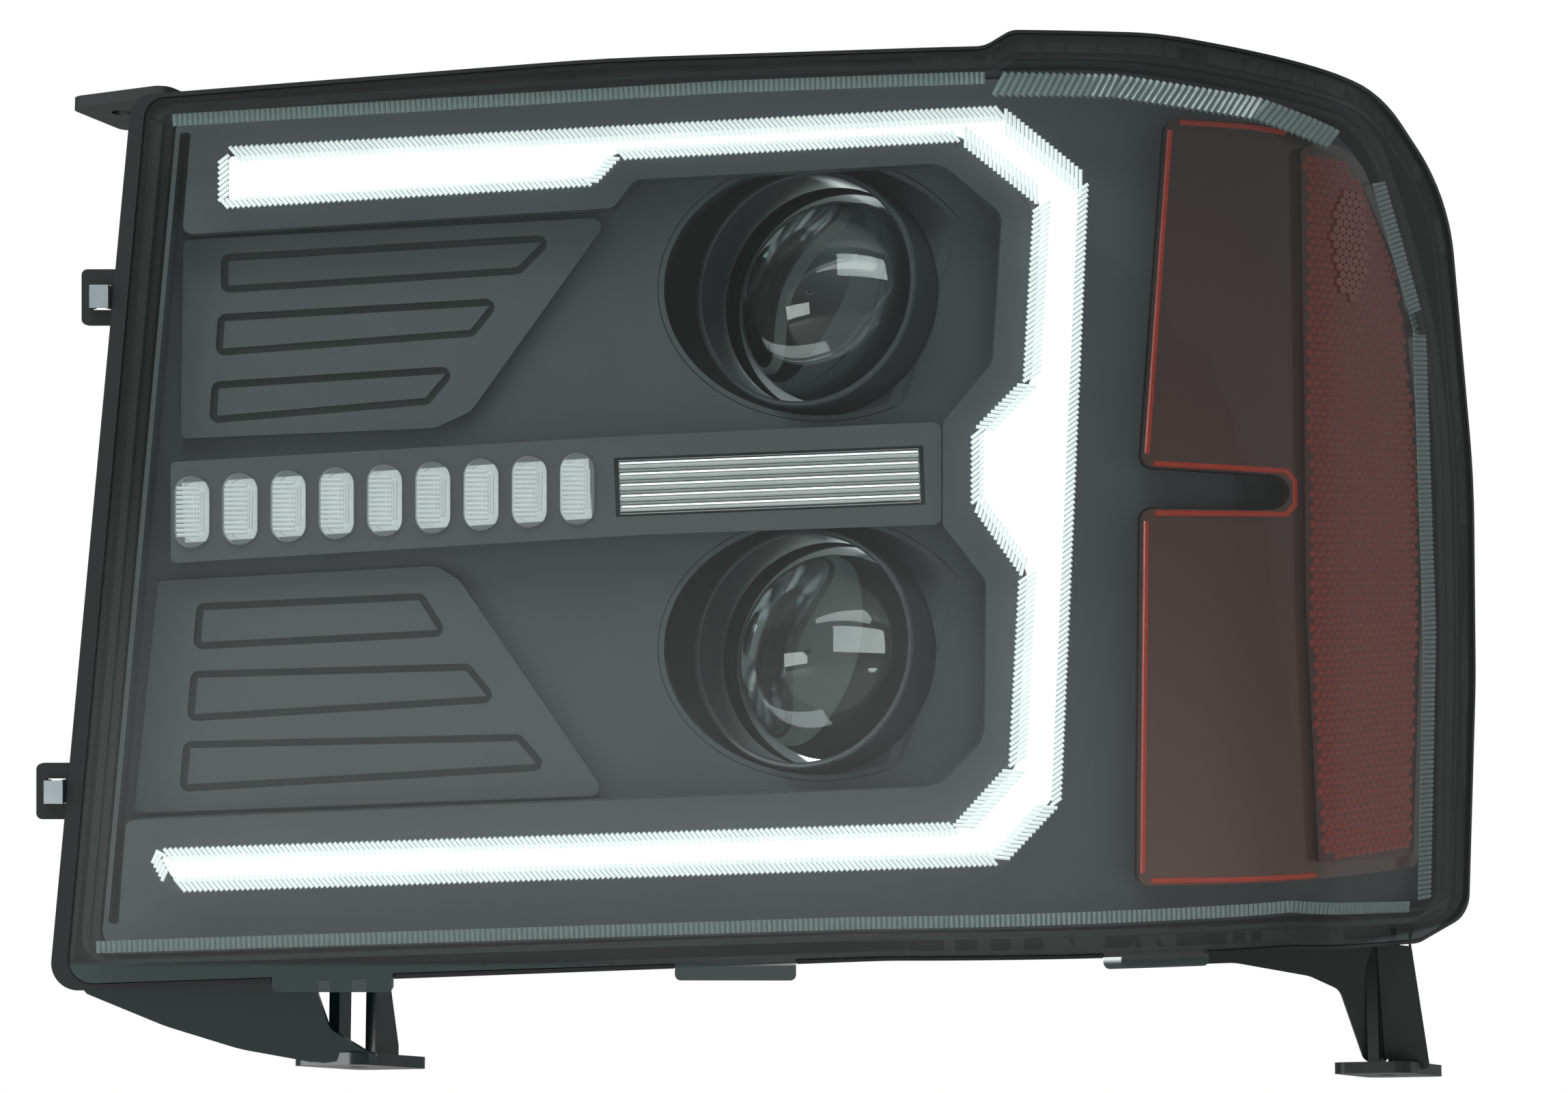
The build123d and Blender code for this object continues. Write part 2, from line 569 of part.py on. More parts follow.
with BuildPart() as turn_socket:
    add(rod(TURN.offset(-7), SOCKET_R, 14.1))
    add(rod(TURN.offset(7.0), SOCKET_R + 5, 3.5))
    with BuildSketch(TURN.offset(10.4)):
        Rectangle(9, 30)
    extrude(amount=9)
    with BuildSketch(TURN.offset(10.3)):
        Rectangle(14, 18)
    extrude(amount=16)
write(turn_socket.part, "turn_socket")
write(ring(TURN.offset(6.05), SOCKET_R + 0.1, SOCKET_R + 3.2, 0.9), "turn_socket_seal")
with BuildPart() as turn_bulb:
    add(rod(TURN.offset(-13), 7.5, 5.9))
    add(rod(TURN.offset(-30), 9.5, 17.5))
    with BuildSketch(TURN.offset(-30)):
        Circle(9.5)
    extrude(amount=-5, taper=35)
write(turn_bulb.part, "turn_bulb")

# ---------------------------------------------------------------- projector modules on their carrier
for name, centre in (("upper", UPPER), ("lower", LOWER)):
    sphere_r = (LENS_R**2 + LENS_DOME**2) / (2 * LENS_DOME)
    with BuildPart() as projector_lens:
        with BuildSketch(Plane(centre, x_dir=(1, 0, 0), z_dir=(0, 0, 1))):
            with BuildLine():
                dome = ThreePointArc(
                    (0, -LENS_DOME),
                    (sphere_r * sin(radians(32)), -LENS_DOME + sphere_r * (1 - cos(radians(32)))),
                    (LENS_R, 0),
                )
                Polyline(dome @ 1, (LENS_R + 1.2, 0), (LENS_R + 1.2, 3), (0, 3), (0, -LENS_DOME))
            make_face()
        revolve(axis=Axis(centre, (0, 1, 0)))
    write(projector_lens.part, f"{name}_projector_lens")
    retainer = [
        (LENS_R + 0.1, -1), (LENS_R + 3.4, -1), (LENS_R + 3.4, 9), (BARREL_R + 0.05, 9),
        (BARREL_R + 0.05, -0.02), (LENS_R + 0.1, -0.02),
    ]
    write(turned(centre, retainer), f"{name}_lens_retainer")
    barrel = [
        (LENS_R - 1.8, 3.1), (BARREL_R, 3.1), (BARREL_R, 56), (BARREL_R - 6, 56), (BARREL_R - 6, 54),
        (BARREL_R - 3, 52), (BARREL_R - 3, 8), (LENS_R - 1.8, 6),
    ]
    write(turned(centre, barrel), f"{name}_barrel")
    with BuildPart() as bowl_shell:
        with BuildSketch(Plane(centre, x_dir=(1, 0, 0), z_dir=(0, 0, 1))):
            with BuildLine():
                outer_curve = ThreePointArc((BARREL_R - 1, 60), (30.5, 86), (11, 108))
                inner_curve = ThreePointArc((BARREL_R - 3, 60), (28.7, 84.6), (11, 105.6))
                Line(outer_curve @ 1, inner_curve @ 1)
                Polyline(
                    outer_curve @ 0, (BARREL_R, 60), (BARREL_R, 56.1), (BARREL_R - 6, 56.1),
                    (BARREL_R - 6, 58), (BARREL_R - 3, 59), inner_curve @ 0,
                )
            make_face()
        revolve(axis=Axis(centre, (0, 1, 0)))
    write(bowl_shell.part, f"{name}_reflector_bowl")
    bulb = [
        (0, 76), (4.5, 78), (5.5, 82), (5.5, 104), (10.8, 104), (10.8, 108.2), (15, 108.2), (15, 112),
        (12, 112), (12, 128), (0, 128),
    ]
    write(turned(centre, bulb), f"{name}_bulb")

with BuildPart() as cutoff_shield:
    with BuildSketch(behind(UPPER.X, UPPER.Z, UPPER.Y + 46)):
        Circle(BARREL_R - 3.1)
        with Locations((0, 20)):
            Rectangle(80, 40, mode=Mode.SUBTRACT)
        with Locations((-16.5, 0)):
            Rectangle(33, 3)
    extrude(amount=1.5)
    with BuildSketch(behind(UPPER.X, UPPER.Z, UPPER.Y + 46)):
        Circle(BARREL_R - 3.1)
        Circle(BARREL_R - 6, mode=Mode.SUBTRACT)
    extrude(amount=4)
write(cutoff_shield.part, "cutoff_shield")

FRAME_T = 8.0
NUT_BLOCK = 16.0
FRAME = Plane((0, PIVOT_Y - FRAME_T / 2, 0), x_dir=(1, 0, 0), z_dir=(0, -1, 0))
with BuildPart() as carrier_frame:
    with BuildSketch(FRAME):
        with Locations((UPPER.X, UPPER.Z), (LOWER.X, LOWER.Z)):
            Circle(BARREL_R + 7)
        with Locations((159.5, PIVOT_Z)):
            Rectangle(40, 60)
        with Locations(((PIVOT_POST_X[0] + PIVOT_POST_X[1]) / 2, PIVOT_Z)):
            Rectangle(PIVOT_POST_X[1] - PIVOT_POST_X[0] - 3, 16)
        with Locations((SCREW_X, SCREW_Z + 4)):
            Rectangle(NUT_BLOCK + 6, NUT_BLOCK + 8)
        with Locations((UPPER.X, UPPER.Z), (LOWER.X, LOWER.Z)):
            Circle(BARREL_R + 0.05, mode=Mode.SUBTRACT)
        with Locations((SCREW_X, SCREW_Z)):
            Rectangle(NUT_BLOCK - 4, NUT_BLOCK - 4, mode=Mode.SUBTRACT)
    extrude(amount=-FRAME_T)
    for inner_x, side in ((PIVOT_POST_X[0], -1), (PIVOT_POST_X[1], 1)):
        add(rod(Plane((inner_x - side * 4, PIVOT_Y, PIVOT_Z), z_dir=(side, 0, 0)), PIN_R, POST_T + 6))
write(carrier_frame.part, "carrier_frame")

with BuildPart() as pivot_bushes:
    for inner_x, side in ((PIVOT_POST_X[0], 1), (PIVOT_POST_X[1], -1)):
        outer_face = inner_x - side * POST_T
        add(ring(Plane((outer_face, PIVOT_Y, PIVOT_Z), z_dir=(side, 0, 0)), PIN_R + RUNNING, 6.98, POST_T))
write(pivot_bushes.part, "pivot_bushes")

with BuildPart() as aim_nut:
    with BuildSketch(behind(SCREW_X, SCREW_Z, PIVOT_Y - 5)):
        Rectangle(NUT_BLOCK - 4.05, NUT_BLOCK - 4.05)
        Circle(SCREW_R + 0.6, mode=Mode.SUBTRACT)
    extrude(amount=10)
write(aim_nut.part, "aim_nut")

with BuildPart() as aim_screw:
    add(rod(behind(SCREW_X, SCREW_Z, PIVOT_Y - 20), SCREW_R, SCREW_BOSS_Y + 8 - PIVOT_Y + 20.5))
    add(rod(behind(SCREW_X, SCREW_Z, SCREW_BOSS_Y - 10.5), 5.5, 2.3))
    with BuildSketch(behind(SCREW_X, SCREW_Z, SCREW_BOSS_Y + 8.3)):
        RegularPolygon(5.2, 6)
    extrude(amount=7)
    with BuildSketch(behind(SCREW_X, SCREW_Z, SCREW_BOSS_Y + 8.3)):
        Circle(7)
    extrude(amount=1.6)
write(aim_screw.part, "aim_screw")

# ---------------------------------------------------------------- rear caps
for name, centre in (("upper", UPPER), ("lower", LOWER)):
    with BuildPart() as rear_cap:
        add(turned(centre, [
            (0, CAP_AT + 6), (20, CAP_AT + 6), (24, CAP_AT + 1), (24, CAP_AT - 13.5), (27.2, CAP_AT - 13.5),
            (27.2, CAP_AT + 1.6), (37, CAP_AT + 1.6), (37, CAP_AT + 5), (28, CAP_AT + 5), (22, CAP_AT + 9),
            (0, CAP_AT + 9),
        ]))
        for turn in range(LUGS):
            with BuildSketch(beam(centre, CAP_AT - 13.5)):
                with Locations(Rotation(0, 0, turn * 360 / LUGS)):
                    add(sector(25, 30.6, LUG_ARC))
            extrude(amount=3.2)
        with BuildSketch(beam(centre, CAP_AT + 8)):
            SlotOverall(50, 8)
        extrude(amount=8)
    write(rear_cap.part, f"{name}_rear_cap")
    write(ring(beam(centre, CAP_AT + 0.05), 31.5, 35, 1.5), f"{name}_cap_seal")

# ---------------------------------------------------------------- brackets, screws and fittings
PLATE_T = 4.0
INBOARD_PLATE = [
    (-232, -135, 2), (-235, -149, 3), (-207, -160.5, 60), (-182, -168.2, 60), (-158, -172.5, 3),
    (-132, -171.6, 1), (-140, -168.8, 5), (-152, -161.5, 6), (-156, -150, 4), (-156, -135, 2),
]
OUTBOARD_PLATE = [
    (120, -146, 1), (120, -149.2, 1), (160, -147.8, 20), (186.5, -152.5, 12), (197.5, -157.5, 6),
    (206, -182, 3), (211, -185.5, 2), (229.5, -185.5, 2), (222.5, -140, 3), (226, -128, 1), (150, -128, 1),
]
bucket_room = bucket(outline(RIM_EDGE, -BUCKET_INSET + 0.05), RIM_NEAR - 30, -1)
rim_room = layer(outline(RIM_EDGE, 0.3), FLANGE_NEAR - 6, RIM_FAR + 0.3, False)
OUT_FOOT = Vector(294, 221, 0)
for name, plate, depth, foot, wing in (
    ("inboard_bracket", INBOARD_PLATE, 40.0, Vector(0, 0, 0), (-192, 60)),
    ("outboard_bracket", OUTBOARD_PLATE, 128.0, OUT_FOOT, (200, 34)),
):
    with BuildPart() as bracket:
        add(prism(outline(plate), depth, depth + PLATE_T))
        with BuildSketch(Plane(foot, x_dir=(1, 0, 0), z_dir=(0, 0, 1))):
            with Locations((0, 2)):
                RectangleRounded(28, 46, 5)
        extrude(amount=FOOT_T)
        with BuildSketch(FACE.offset(-depth)):
            with Locations((wing[0], -137)):
                Rectangle(wing[1], 14, rotation=1.8)
        extrude(amount=-30)
        with BuildSketch(Plane(foot + Vector(0, -16, 2), x_dir=(0, 1, 0), z_dir=(1, 0, 0))):
            with BuildLine():
                Polyline((0, 0), (40, 0), (40, 6), (24, 60), (0, 60), close=True)
            make_face()
        extrude(amount=PLATE_T / 2, both=True)
        add(bucket_room, mode=Mode.SUBTRACT)
        add(rim_room, mode=Mode.SUBTRACT)
        add(rod(Plane(foot + Vector(0, 0, -5), z_dir=(0, 0, 1)), 8.5, 5), mode=Mode.SUBTRACT)
        add(rod(Plane(foot + Vector(0, 0, FOOT_T), z_dir=(0, 0, 1)), 8.5, 40), mode=Mode.SUBTRACT)
        add(rod(Plane(foot + Vector(0, 0, -5), z_dir=(0, 0, 1)), BOLT_R, 20), mode=Mode.SUBTRACT)
    write(bracket.part, name)

with BuildPart() as bezel_screws:
    for boss_u, boss_v in BOSSES:
        top = facing(boss_u, boss_v, FLOOR - 0.1 + skin(boss_u))
        add(rod(top, 4, 0.9))
        add(rod(top, 1.9, -16))
write(bezel_screws.part, "bezel_screws")

with BuildPart() as ear_clips:
    for ear_u, ear_v in EARS:
        for side in (-1, 1):
            with BuildSketch(FACE.offset(-EAR_DEPTH + 1.5)):
                with Locations((ear_u + side * 2.6, ear_v)):
                    Rectangle(1.0, 7.6)
            extrude(amount=-9)
        with BuildSketch(FACE.offset(-EAR_DEPTH + 1.6)):
            with Locations((ear_u, ear_v)):
                Rectangle(6.2, 7.6)
        extrude(amount=-1.2)
write(ear_clips.part, "ear_clips")

with BuildPart() as led_driver:
    with BuildSketch(DRIVER.offset(0.2)):
        RectangleRounded(84, 62, 5)
    extrude(amount=3)
    with BuildSketch(DRIVER.offset(3)):
        RectangleRounded(70, 52, 4)
    extrude(amount=15)
    for i in range(9):
        with BuildSketch(DRIVER.offset(18)):
            with Locations(((i - 4) * 7.6, 0)):
                Rectangle(2, 46)
        extrude(amount=6)
write(led_driver.part, "led_driver")

with BuildPart() as connector_inlet:
    with BuildSketch(INLET.offset(0.2)):
        RectangleRounded(46, 30, 3)
    extrude(amount=3)
    with BuildSketch(INLET.offset(3)):
        RectangleRounded(34, 20, 3)
    extrude(amount=20)
    with BuildSketch(INLET.offset(7)):
        RectangleRounded(30, 16, 2)
    extrude(amount=16, mode=Mode.SUBTRACT)
    with BuildSketch(INLET.offset(7)):
        with GridLocations(5, 6, 4, 2):
            Rectangle(1.6, 0.8)
    extrude(amount=5)
write(connector_inlet.part, "connector_inlet")

with BuildPart() as vent_caps:
    for vent_u, vent_v in VENTS:
        vent = Plane(place(vent_u, vent_v, back_wall(vent_u)), x_dir=drive_wall, z_dir=DRIVER.z_dir)
        add(rod(vent.offset(0.3), 11, 4))
        add(rod(vent.offset(4.2), 8, 12))
write(vent_caps.part, "vent_caps")
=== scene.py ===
"""Truck headlamp: finishes, fine surface detail, stage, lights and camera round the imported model."""

import math

import bmesh
import bpy
from mathutils import Matrix, Vector
from mathutils.bvhtree import BVHTree


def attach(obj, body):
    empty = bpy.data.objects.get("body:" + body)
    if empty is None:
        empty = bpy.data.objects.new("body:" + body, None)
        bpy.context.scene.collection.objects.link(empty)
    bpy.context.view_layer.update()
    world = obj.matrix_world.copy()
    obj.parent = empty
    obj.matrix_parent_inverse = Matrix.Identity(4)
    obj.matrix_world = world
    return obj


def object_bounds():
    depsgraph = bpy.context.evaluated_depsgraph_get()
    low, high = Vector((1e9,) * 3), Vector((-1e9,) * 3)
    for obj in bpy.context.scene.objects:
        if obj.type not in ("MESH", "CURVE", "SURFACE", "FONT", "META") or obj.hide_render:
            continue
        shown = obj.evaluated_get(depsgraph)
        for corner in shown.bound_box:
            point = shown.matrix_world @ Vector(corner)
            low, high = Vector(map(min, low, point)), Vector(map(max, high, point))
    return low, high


bl_info = {
    "name": "Truck headlamp",
    "version": (1, 0, 0),
    "blender": (4, 5, 0),
    "location": "3D View > Sidebar > Headlamp",
    "description": "Gives the packed headlamp its finishes, fluting, glow, stage and camera",
    "category": "Object",
}

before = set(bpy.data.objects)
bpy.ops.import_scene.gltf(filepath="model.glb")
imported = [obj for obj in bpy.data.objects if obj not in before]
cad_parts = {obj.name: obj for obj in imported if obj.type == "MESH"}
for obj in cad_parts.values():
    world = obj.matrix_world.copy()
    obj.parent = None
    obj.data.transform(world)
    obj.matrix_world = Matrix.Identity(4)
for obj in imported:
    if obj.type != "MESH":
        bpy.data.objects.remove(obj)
CAD_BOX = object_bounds()

# ------------------------------------------------------------------ the lamp's own axes, in metres
SWEEP = math.radians(25.0)
LEAN = math.radians(9.0)
FACE_ORIGIN = Vector((0.168, -0.018, 0.165))
ACROSS = Vector((math.cos(SWEEP), math.sin(SWEEP), 0.0))
OUT = Vector((math.sin(SWEEP) * math.cos(LEAN), -math.cos(SWEEP) * math.cos(LEAN), -math.sin(LEAN)))
UP = OUT.cross(ACROSS)
MM = 0.001
SKIN_SLOPE = -4.0 / 350.0  # the cover's outer surface, in millimetres of depth for each across
SKIN_AT_MIDDLE = 4.0 - 262.0 * 4.0 / 350.0
COVER_WALL = 2.8
POLYMER_IOR = 1.49
MIRROR_AT_A_SLANT = 0.13  # the most that clear plastic mirrors, seen along its skin
# painted shade: the louvre panels are painted nearly black between these depths below the skin
PAINTED_SHADE_DEPTHS = (34.75, 35.6)  # the sunk bands of the louvre panels, below the cover's surface


def place(u, v, w):
    """Point from millimetres across the face, up it and into the lamp."""
    return FACE_ORIGIN + (ACROSS * u + UP * v - OUT * w) * MM


# ------------------------------------------------------------------ colours and nodes
def linear(hex_colour):
    """Linear RGBA from an sRGB hex colour."""
    channels = []
    for start in (1, 3, 5):
        value = int(hex_colour[start:start + 2], 16) / 255
        channels.append(value / 12.92 if value <= 0.04045 else ((value + 0.055) / 1.055) ** 2.4)
    return (*channels, 1.0)


def node(tree, kind, settings=None, **links):
    """Adds a node, sets its properties and sockets, and links sockets to other nodes' outputs."""
    made = tree.nodes.new(kind)
    for name, value in (settings or {}).items():
        if name.startswith("in:"):
            key = name[3:]
            made.inputs[int(key) if key.isdigit() else key].default_value = value
        else:
            setattr(made, name, value)
    for name, output in links.items():
        key = name[1:] if name.startswith("_") else name.replace("_", " ")
        tree.links.new(output, made.inputs[int(key) if key.isdigit() else key])
    return made


def new_material(name):
    """Empty node material with its output, ready for a surface."""
    material = bpy.data.materials.new(name)
    material.use_nodes = True
    material.node_tree.nodes.clear()
    output = material.node_tree.nodes.new("ShaderNodeOutputMaterial")
    return material, material.node_tree, output


def face_coordinates(tree, scale=1000.0):
    """Object coordinates turned to the lamp's face, in millimetres: X across, Y up, Z out."""
    place_in = node(tree, "ShaderNodeTexCoord").outputs["Object"]
    parts = []
    for direction in (ACROSS, UP, OUT):
        along = {"operation": "DOT_PRODUCT", "in:1": tuple(direction * scale)}
        dot = node(tree, "ShaderNodeVectorMath", along, _0=place_in)
        start = {"operation": "SUBTRACT", "in:1": FACE_ORIGIN.dot(direction) * scale}
        shift = node(tree, "ShaderNodeMath", start, _0=dot.outputs["Value"])
        parts.append(shift.outputs[0])
    return node(tree, "ShaderNodeCombineXYZ", X=parts[0], Y=parts[1], Z=parts[2]).outputs[0]


def grain_bump(tree, size_mm, strength, distance_mm):
    """Fine moulded grain, given by its real size."""
    place_in = node(tree, "ShaderNodeTexCoord").outputs["Object"]
    fineness = {"in:Scale": 1000.0 / size_mm, "in:Detail": 3.0}
    noise = node(tree, "ShaderNodeTexNoise", fineness, Vector=place_in)
    return node(tree, "ShaderNodeBump", {"in:Strength": strength, "in:Distance": distance_mm * MM},
                Height=noise.outputs["Fac"]).outputs[0]


def varied(tree, size_mm, low, high):
    """Slow change between two values over a surface, given by the size of its patches."""
    place_in = node(tree, "ShaderNodeTexCoord").outputs["Object"]
    fineness = {"in:Scale": 1000.0 / size_mm, "in:Detail": 4.0}
    noise = node(tree, "ShaderNodeTexNoise", fineness, Vector=place_in)
    return node(tree, "ShaderNodeMapRange", {"in:3": low, "in:4": high}, _0=noise.outputs["Fac"]).outputs[0]


def varied_colour(tree, size_mm, dark, light):
    """Slow change between two colours over a surface."""
    place_in = node(tree, "ShaderNodeTexCoord").outputs["Object"]
    fineness = {"in:Scale": 1000.0 / size_mm, "in:Detail": 5.0}
    noise = node(tree, "ShaderNodeTexNoise", fineness, Vector=place_in)
    mix = node(tree, "ShaderNodeMix", {"data_type": "RGBA", "in:6": linear(dark), "in:7": linear(light)},
               _0=noise.outputs["Fac"])
    return mix.outputs[2]


# ------------------------------------------------------------------ finishes
def satin_plastic(name, dark, light, roughness, grain_mm, depth_mm, coat=0.0):
    """Moulded plastic: a slight drift of shade, uneven gloss and a fine moulded grain."""
    material, tree, output = new_material(name)
    skin = {"in:IOR": POLYMER_IOR, "in:Coat Weight": coat, "in:Coat Roughness": 0.12}
    shader = node(tree, "ShaderNodeBsdfPrincipled", skin,
                  Base_Color=varied_colour(tree, 45.0, dark, light),
                  Roughness=varied(tree, 18.0, roughness - 0.06, roughness + 0.06),
                  Normal=grain_bump(tree, grain_mm, 0.35, depth_mm))
    tree.links.new(shader.outputs[0], output.inputs[0])
    return material


def bright_metal(name, dark, light, roughness, grain_mm=0.6, depth_mm=0.01):
    """Metal: its colour drifts a little and a fine grain breaks up the reflection."""
    material, tree, output = new_material(name)
    shader = node(tree, "ShaderNodeBsdfPrincipled", {"in:Metallic": 1.0},
                  Base_Color=varied_colour(tree, 12.0, dark, light),
                  Roughness=varied(tree, 9.0, roughness * 0.7, roughness * 1.3),
                  Normal=grain_bump(tree, grain_mm, 0.2, depth_mm))
    tree.links.new(shader.outputs[0], output.inputs[0])
    return material


def brushed_steel(name, dark, light):
    """Zinc-plated stamped steel: fine streaks along one way from the rolling mill."""
    material, tree, output = new_material(name)
    place_in = node(tree, "ShaderNodeTexCoord").outputs["Object"]
    stretched = node(tree, "ShaderNodeMapping", {"in:Scale": (300.0, 300.0, 9000.0)}, Vector=place_in)
    streaks = node(tree, "ShaderNodeTexNoise", {"in:Scale": 1.0, "in:Detail": 3.0},
                   Vector=stretched.outputs[0])
    rough = node(tree, "ShaderNodeMapRange", {"in:3": 0.24, "in:4": 0.5}, _0=streaks.outputs["Fac"])
    bump = node(tree, "ShaderNodeBump", {"in:Strength": 0.2, "in:Distance": 0.01 * MM},
                Height=streaks.outputs["Fac"])
    shader = node(tree, "ShaderNodeBsdfPrincipled", {"in:Metallic": 1.0},
                  Base_Color=varied_colour(tree, 8.0, dark, light),
                  Roughness=rough.outputs[0],
                  Normal=bump.outputs[0])
    tree.links.new(shader.outputs[0], output.inputs[0])
    return material


def thin_clear(name, tint, mirror_roughness, straight_on=0.04, haze=None):
    """Thin clear plastic: what is behind shows through a tint, and the skin mirrors at a slant."""
    material, tree, output = new_material(name)
    clear = node(tree, "ShaderNodeBsdfTransparent", {"in:Color": linear(tint)})
    polish = {"in:Color": linear("#ffffff"), "in:Roughness": mirror_roughness}
    gloss = node(tree, "ShaderNodeBsdfGlossy", polish)
    facing = node(tree, "ShaderNodeLayerWeight", {"in:Blend": 0.5}).outputs["Facing"]
    slant = node(tree, "ShaderNodeMath", {"operation": "POWER", "in:1": 5.0}, _0=facing)
    share = node(tree, "ShaderNodeMapRange", {"in:3": straight_on, "in:4": MIRROR_AT_A_SLANT},
                 _0=slant.outputs[0])
    mixed = node(tree, "ShaderNodeMixShader", None,
                 _0=share.outputs[0], _1=clear.outputs[0], _2=gloss.outputs[0])
    if haze:
        colour, amount = haze
        skin = {"in:Base Color": linear(colour), "in:Roughness": 0.3}
        layers = {"_1": mixed.outputs[0], "_2": node(tree, "ShaderNodeBsdfPrincipled", skin).outputs[0]}
        if callable(amount):
            mixed = node(tree, "ShaderNodeMixShader", None, _0=amount(tree), **layers)
        else:
            mixed = node(tree, "ShaderNodeMixShader", {"in:0": amount}, **layers)
    tree.links.new(mixed.outputs[0], output.inputs[0])
    return material


def band_share(tree, value, low, high, soft=0.15):
    """One where a value lies between two limits, with soft edges, and nothing elsewhere."""
    rising = node(tree, "ShaderNodeMapRange", {"in:1": low - soft, "in:2": low + soft}, _0=value).outputs[0]
    fall = {"in:1": high - soft, "in:2": high + soft, "in:3": 1.0, "in:4": 0.0}
    falling = node(tree, "ShaderNodeMapRange", fall, _0=value).outputs[0]
    return node(tree, "ShaderNodeMath", {"operation": "MULTIPLY"}, _0=rising, _1=falling).outputs[0]


def depth_below_skin(tree):
    """Millimetres below the cover's outer surface, on its flat inboard part."""
    parts = node(tree, "ShaderNodeSeparateXYZ", None, _0=face_coordinates(tree))
    line = {"operation": "MULTIPLY_ADD", "in:1": -SKIN_SLOPE, "in:2": -SKIN_AT_MIDDLE}
    skin = node(tree, "ShaderNodeMath", line, _0=parts.outputs["X"])
    below = node(tree, "ShaderNodeMath", {"operation": "SUBTRACT"}, _0=skin.outputs[0], _1=parts.outputs["Z"])
    return below.outputs[0]


def rim_share(tree):
    """How cloudy the cover is: its upper and lower walls and the lugs below its rim, not its front."""
    normal = node(tree, "ShaderNodeNewGeometry").outputs["Normal"]
    up = node(tree, "ShaderNodeVectorMath", {"operation": "DOT_PRODUCT", "in:1": tuple(UP)}, _0=normal)
    steep = node(tree, "ShaderNodeMath", {"operation": "ABSOLUTE"}, _0=up.outputs["Value"])
    wall = node(tree, "ShaderNodeMapRange", {"in:1": 0.5, "in:2": 0.95, "in:3": 0.0, "in:4": 0.35},
                _0=steep.outputs[0])
    height = node(tree, "ShaderNodeSeparateXYZ", None, _0=face_coordinates(tree)).outputs["Y"]
    lug = node(tree, "ShaderNodeMapRange", {"in:1": -137.0, "in:2": -138.5, "in:3": 0.0, "in:4": 0.85},
               _0=height)
    cloudier = node(tree, "ShaderNodeMath", {"operation": "MAXIMUM"}, _0=wall.outputs[0], _1=lug.outputs[0])
    return cloudier.outputs[0]


def moulded_panel(name, dark, light, moat_painted_shade):
    """Satin plastic with painted shade: its sunk bands round each louvre are painted nearly black."""
    material, tree, output = new_material(name)
    share = band_share(tree, depth_below_skin(tree), *PAINTED_SHADE_DEPTHS)
    # painted shade: the colour turns nearly black in the sunk bands
    colour = node(tree, "ShaderNodeMix", {"data_type": "RGBA", "in:7": linear(moat_painted_shade)}, _0=share,
                  _6=varied_colour(tree, 45.0, dark, light))
    shader = node(tree, "ShaderNodeBsdfPrincipled", {"in:IOR": POLYMER_IOR}, Base_Color=colour.outputs[2],
                  Roughness=varied(tree, 18.0, 0.34, 0.46), Normal=grain_bump(tree, 0.5, 0.2, 0.01))
    tree.links.new(shader.outputs[0], output.inputs[0])
    return material


def lit_plastic(name, colour, strength, rough=0.3):
    """White plastic that light-emitting diodes shine through: bright, with soft hot spots."""
    material, tree, output = new_material(name)
    spots = node(tree, "ShaderNodeTexNoise", {"in:Scale": 1000.0 / 14.0, "in:Detail": 2.0},
                 Vector=node(tree, "ShaderNodeTexCoord").outputs["Object"])
    level = node(tree, "ShaderNodeMapRange", {"in:3": strength * 0.75, "in:4": strength * 1.25},
                 _0=spots.outputs["Fac"])
    skin = {"in:Base Color": linear(colour), "in:Roughness": rough, "in:Emission Color": linear(colour)}
    shader = node(tree, "ShaderNodeBsdfPrincipled", skin, Emission_Strength=level.outputs[0])
    tree.links.new(shader.outputs[0], output.inputs[0])
    return material


def tinted_acrylic(name, deep, pale, roughness, glow, see=0.25):
    """Smoked or dyed acrylic over a dark cavity: body colour with painted shade that darkens it towards the
    top, a faint painted glow, some see-through, polished skin.
    """
    material, tree, output = new_material(name)
    # painted shade: the body colour runs from the pale colour low on the face to the deep one high on it
    up_the_face = node(tree, "ShaderNodeSeparateXYZ", None, _0=face_coordinates(tree))
    shade = node(tree, "ShaderNodeMapRange", {"in:1": -110.0, "in:2": 140.0}, _0=up_the_face.outputs["Y"])
    drift = node(tree, "ShaderNodeMix", {"data_type": "RGBA", "in:6": linear(pale), "in:7": linear(deep)},
                 _0=shade.outputs[0])
    # painted glow: the body shines faintly in its pale colour, standing in for light gathered inside the
    # acrylic
    body = node(tree, "ShaderNodeBsdfPrincipled",
                {"in:IOR": POLYMER_IOR, "in:Emission Color": linear(pale), "in:Emission Strength": glow},
                Base_Color=drift.outputs[2], Roughness=varied(tree, 20.0, roughness * 0.8, roughness * 1.2))
    clear = node(tree, "ShaderNodeBsdfTransparent", {"in:Color": linear(pale)})
    mixed = node(tree, "ShaderNodeMixShader", {"in:0": see}, _1=body.outputs[0], _2=clear.outputs[0])
    tree.links.new(mixed.outputs[0], output.inputs[0])
    return material


def solid_glass(name, tint, ior, roughness=0.0):
    """Pressed glass that bends light, and lets lamps through to what is behind it."""
    material, tree, output = new_material(name)
    body = {"in:Base Color": linear(tint), "in:IOR": ior, "in:Roughness": roughness,
            "in:Transmission Weight": 1.0}
    glass = node(tree, "ShaderNodeBsdfPrincipled", body)
    clear = node(tree, "ShaderNodeBsdfTransparent", {"in:Color": linear(tint)})
    rays = node(tree, "ShaderNodeLightPath")
    mixed = node(tree, "ShaderNodeMixShader", None, _0=rays.outputs["Is Shadow Ray"], _1=glass.outputs[0],
                 _2=clear.outputs[0])
    tree.links.new(mixed.outputs[0], output.inputs[0])
    return material


def dress(name, material):
    """Gives a CAD node or a piece its finish in every slot."""
    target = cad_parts[name] if isinstance(name, str) else name
    if not target.data.materials:
        target.data.materials.append(material)
    for index in range(len(target.data.materials)):
        target.data.materials[index] = material
    return target


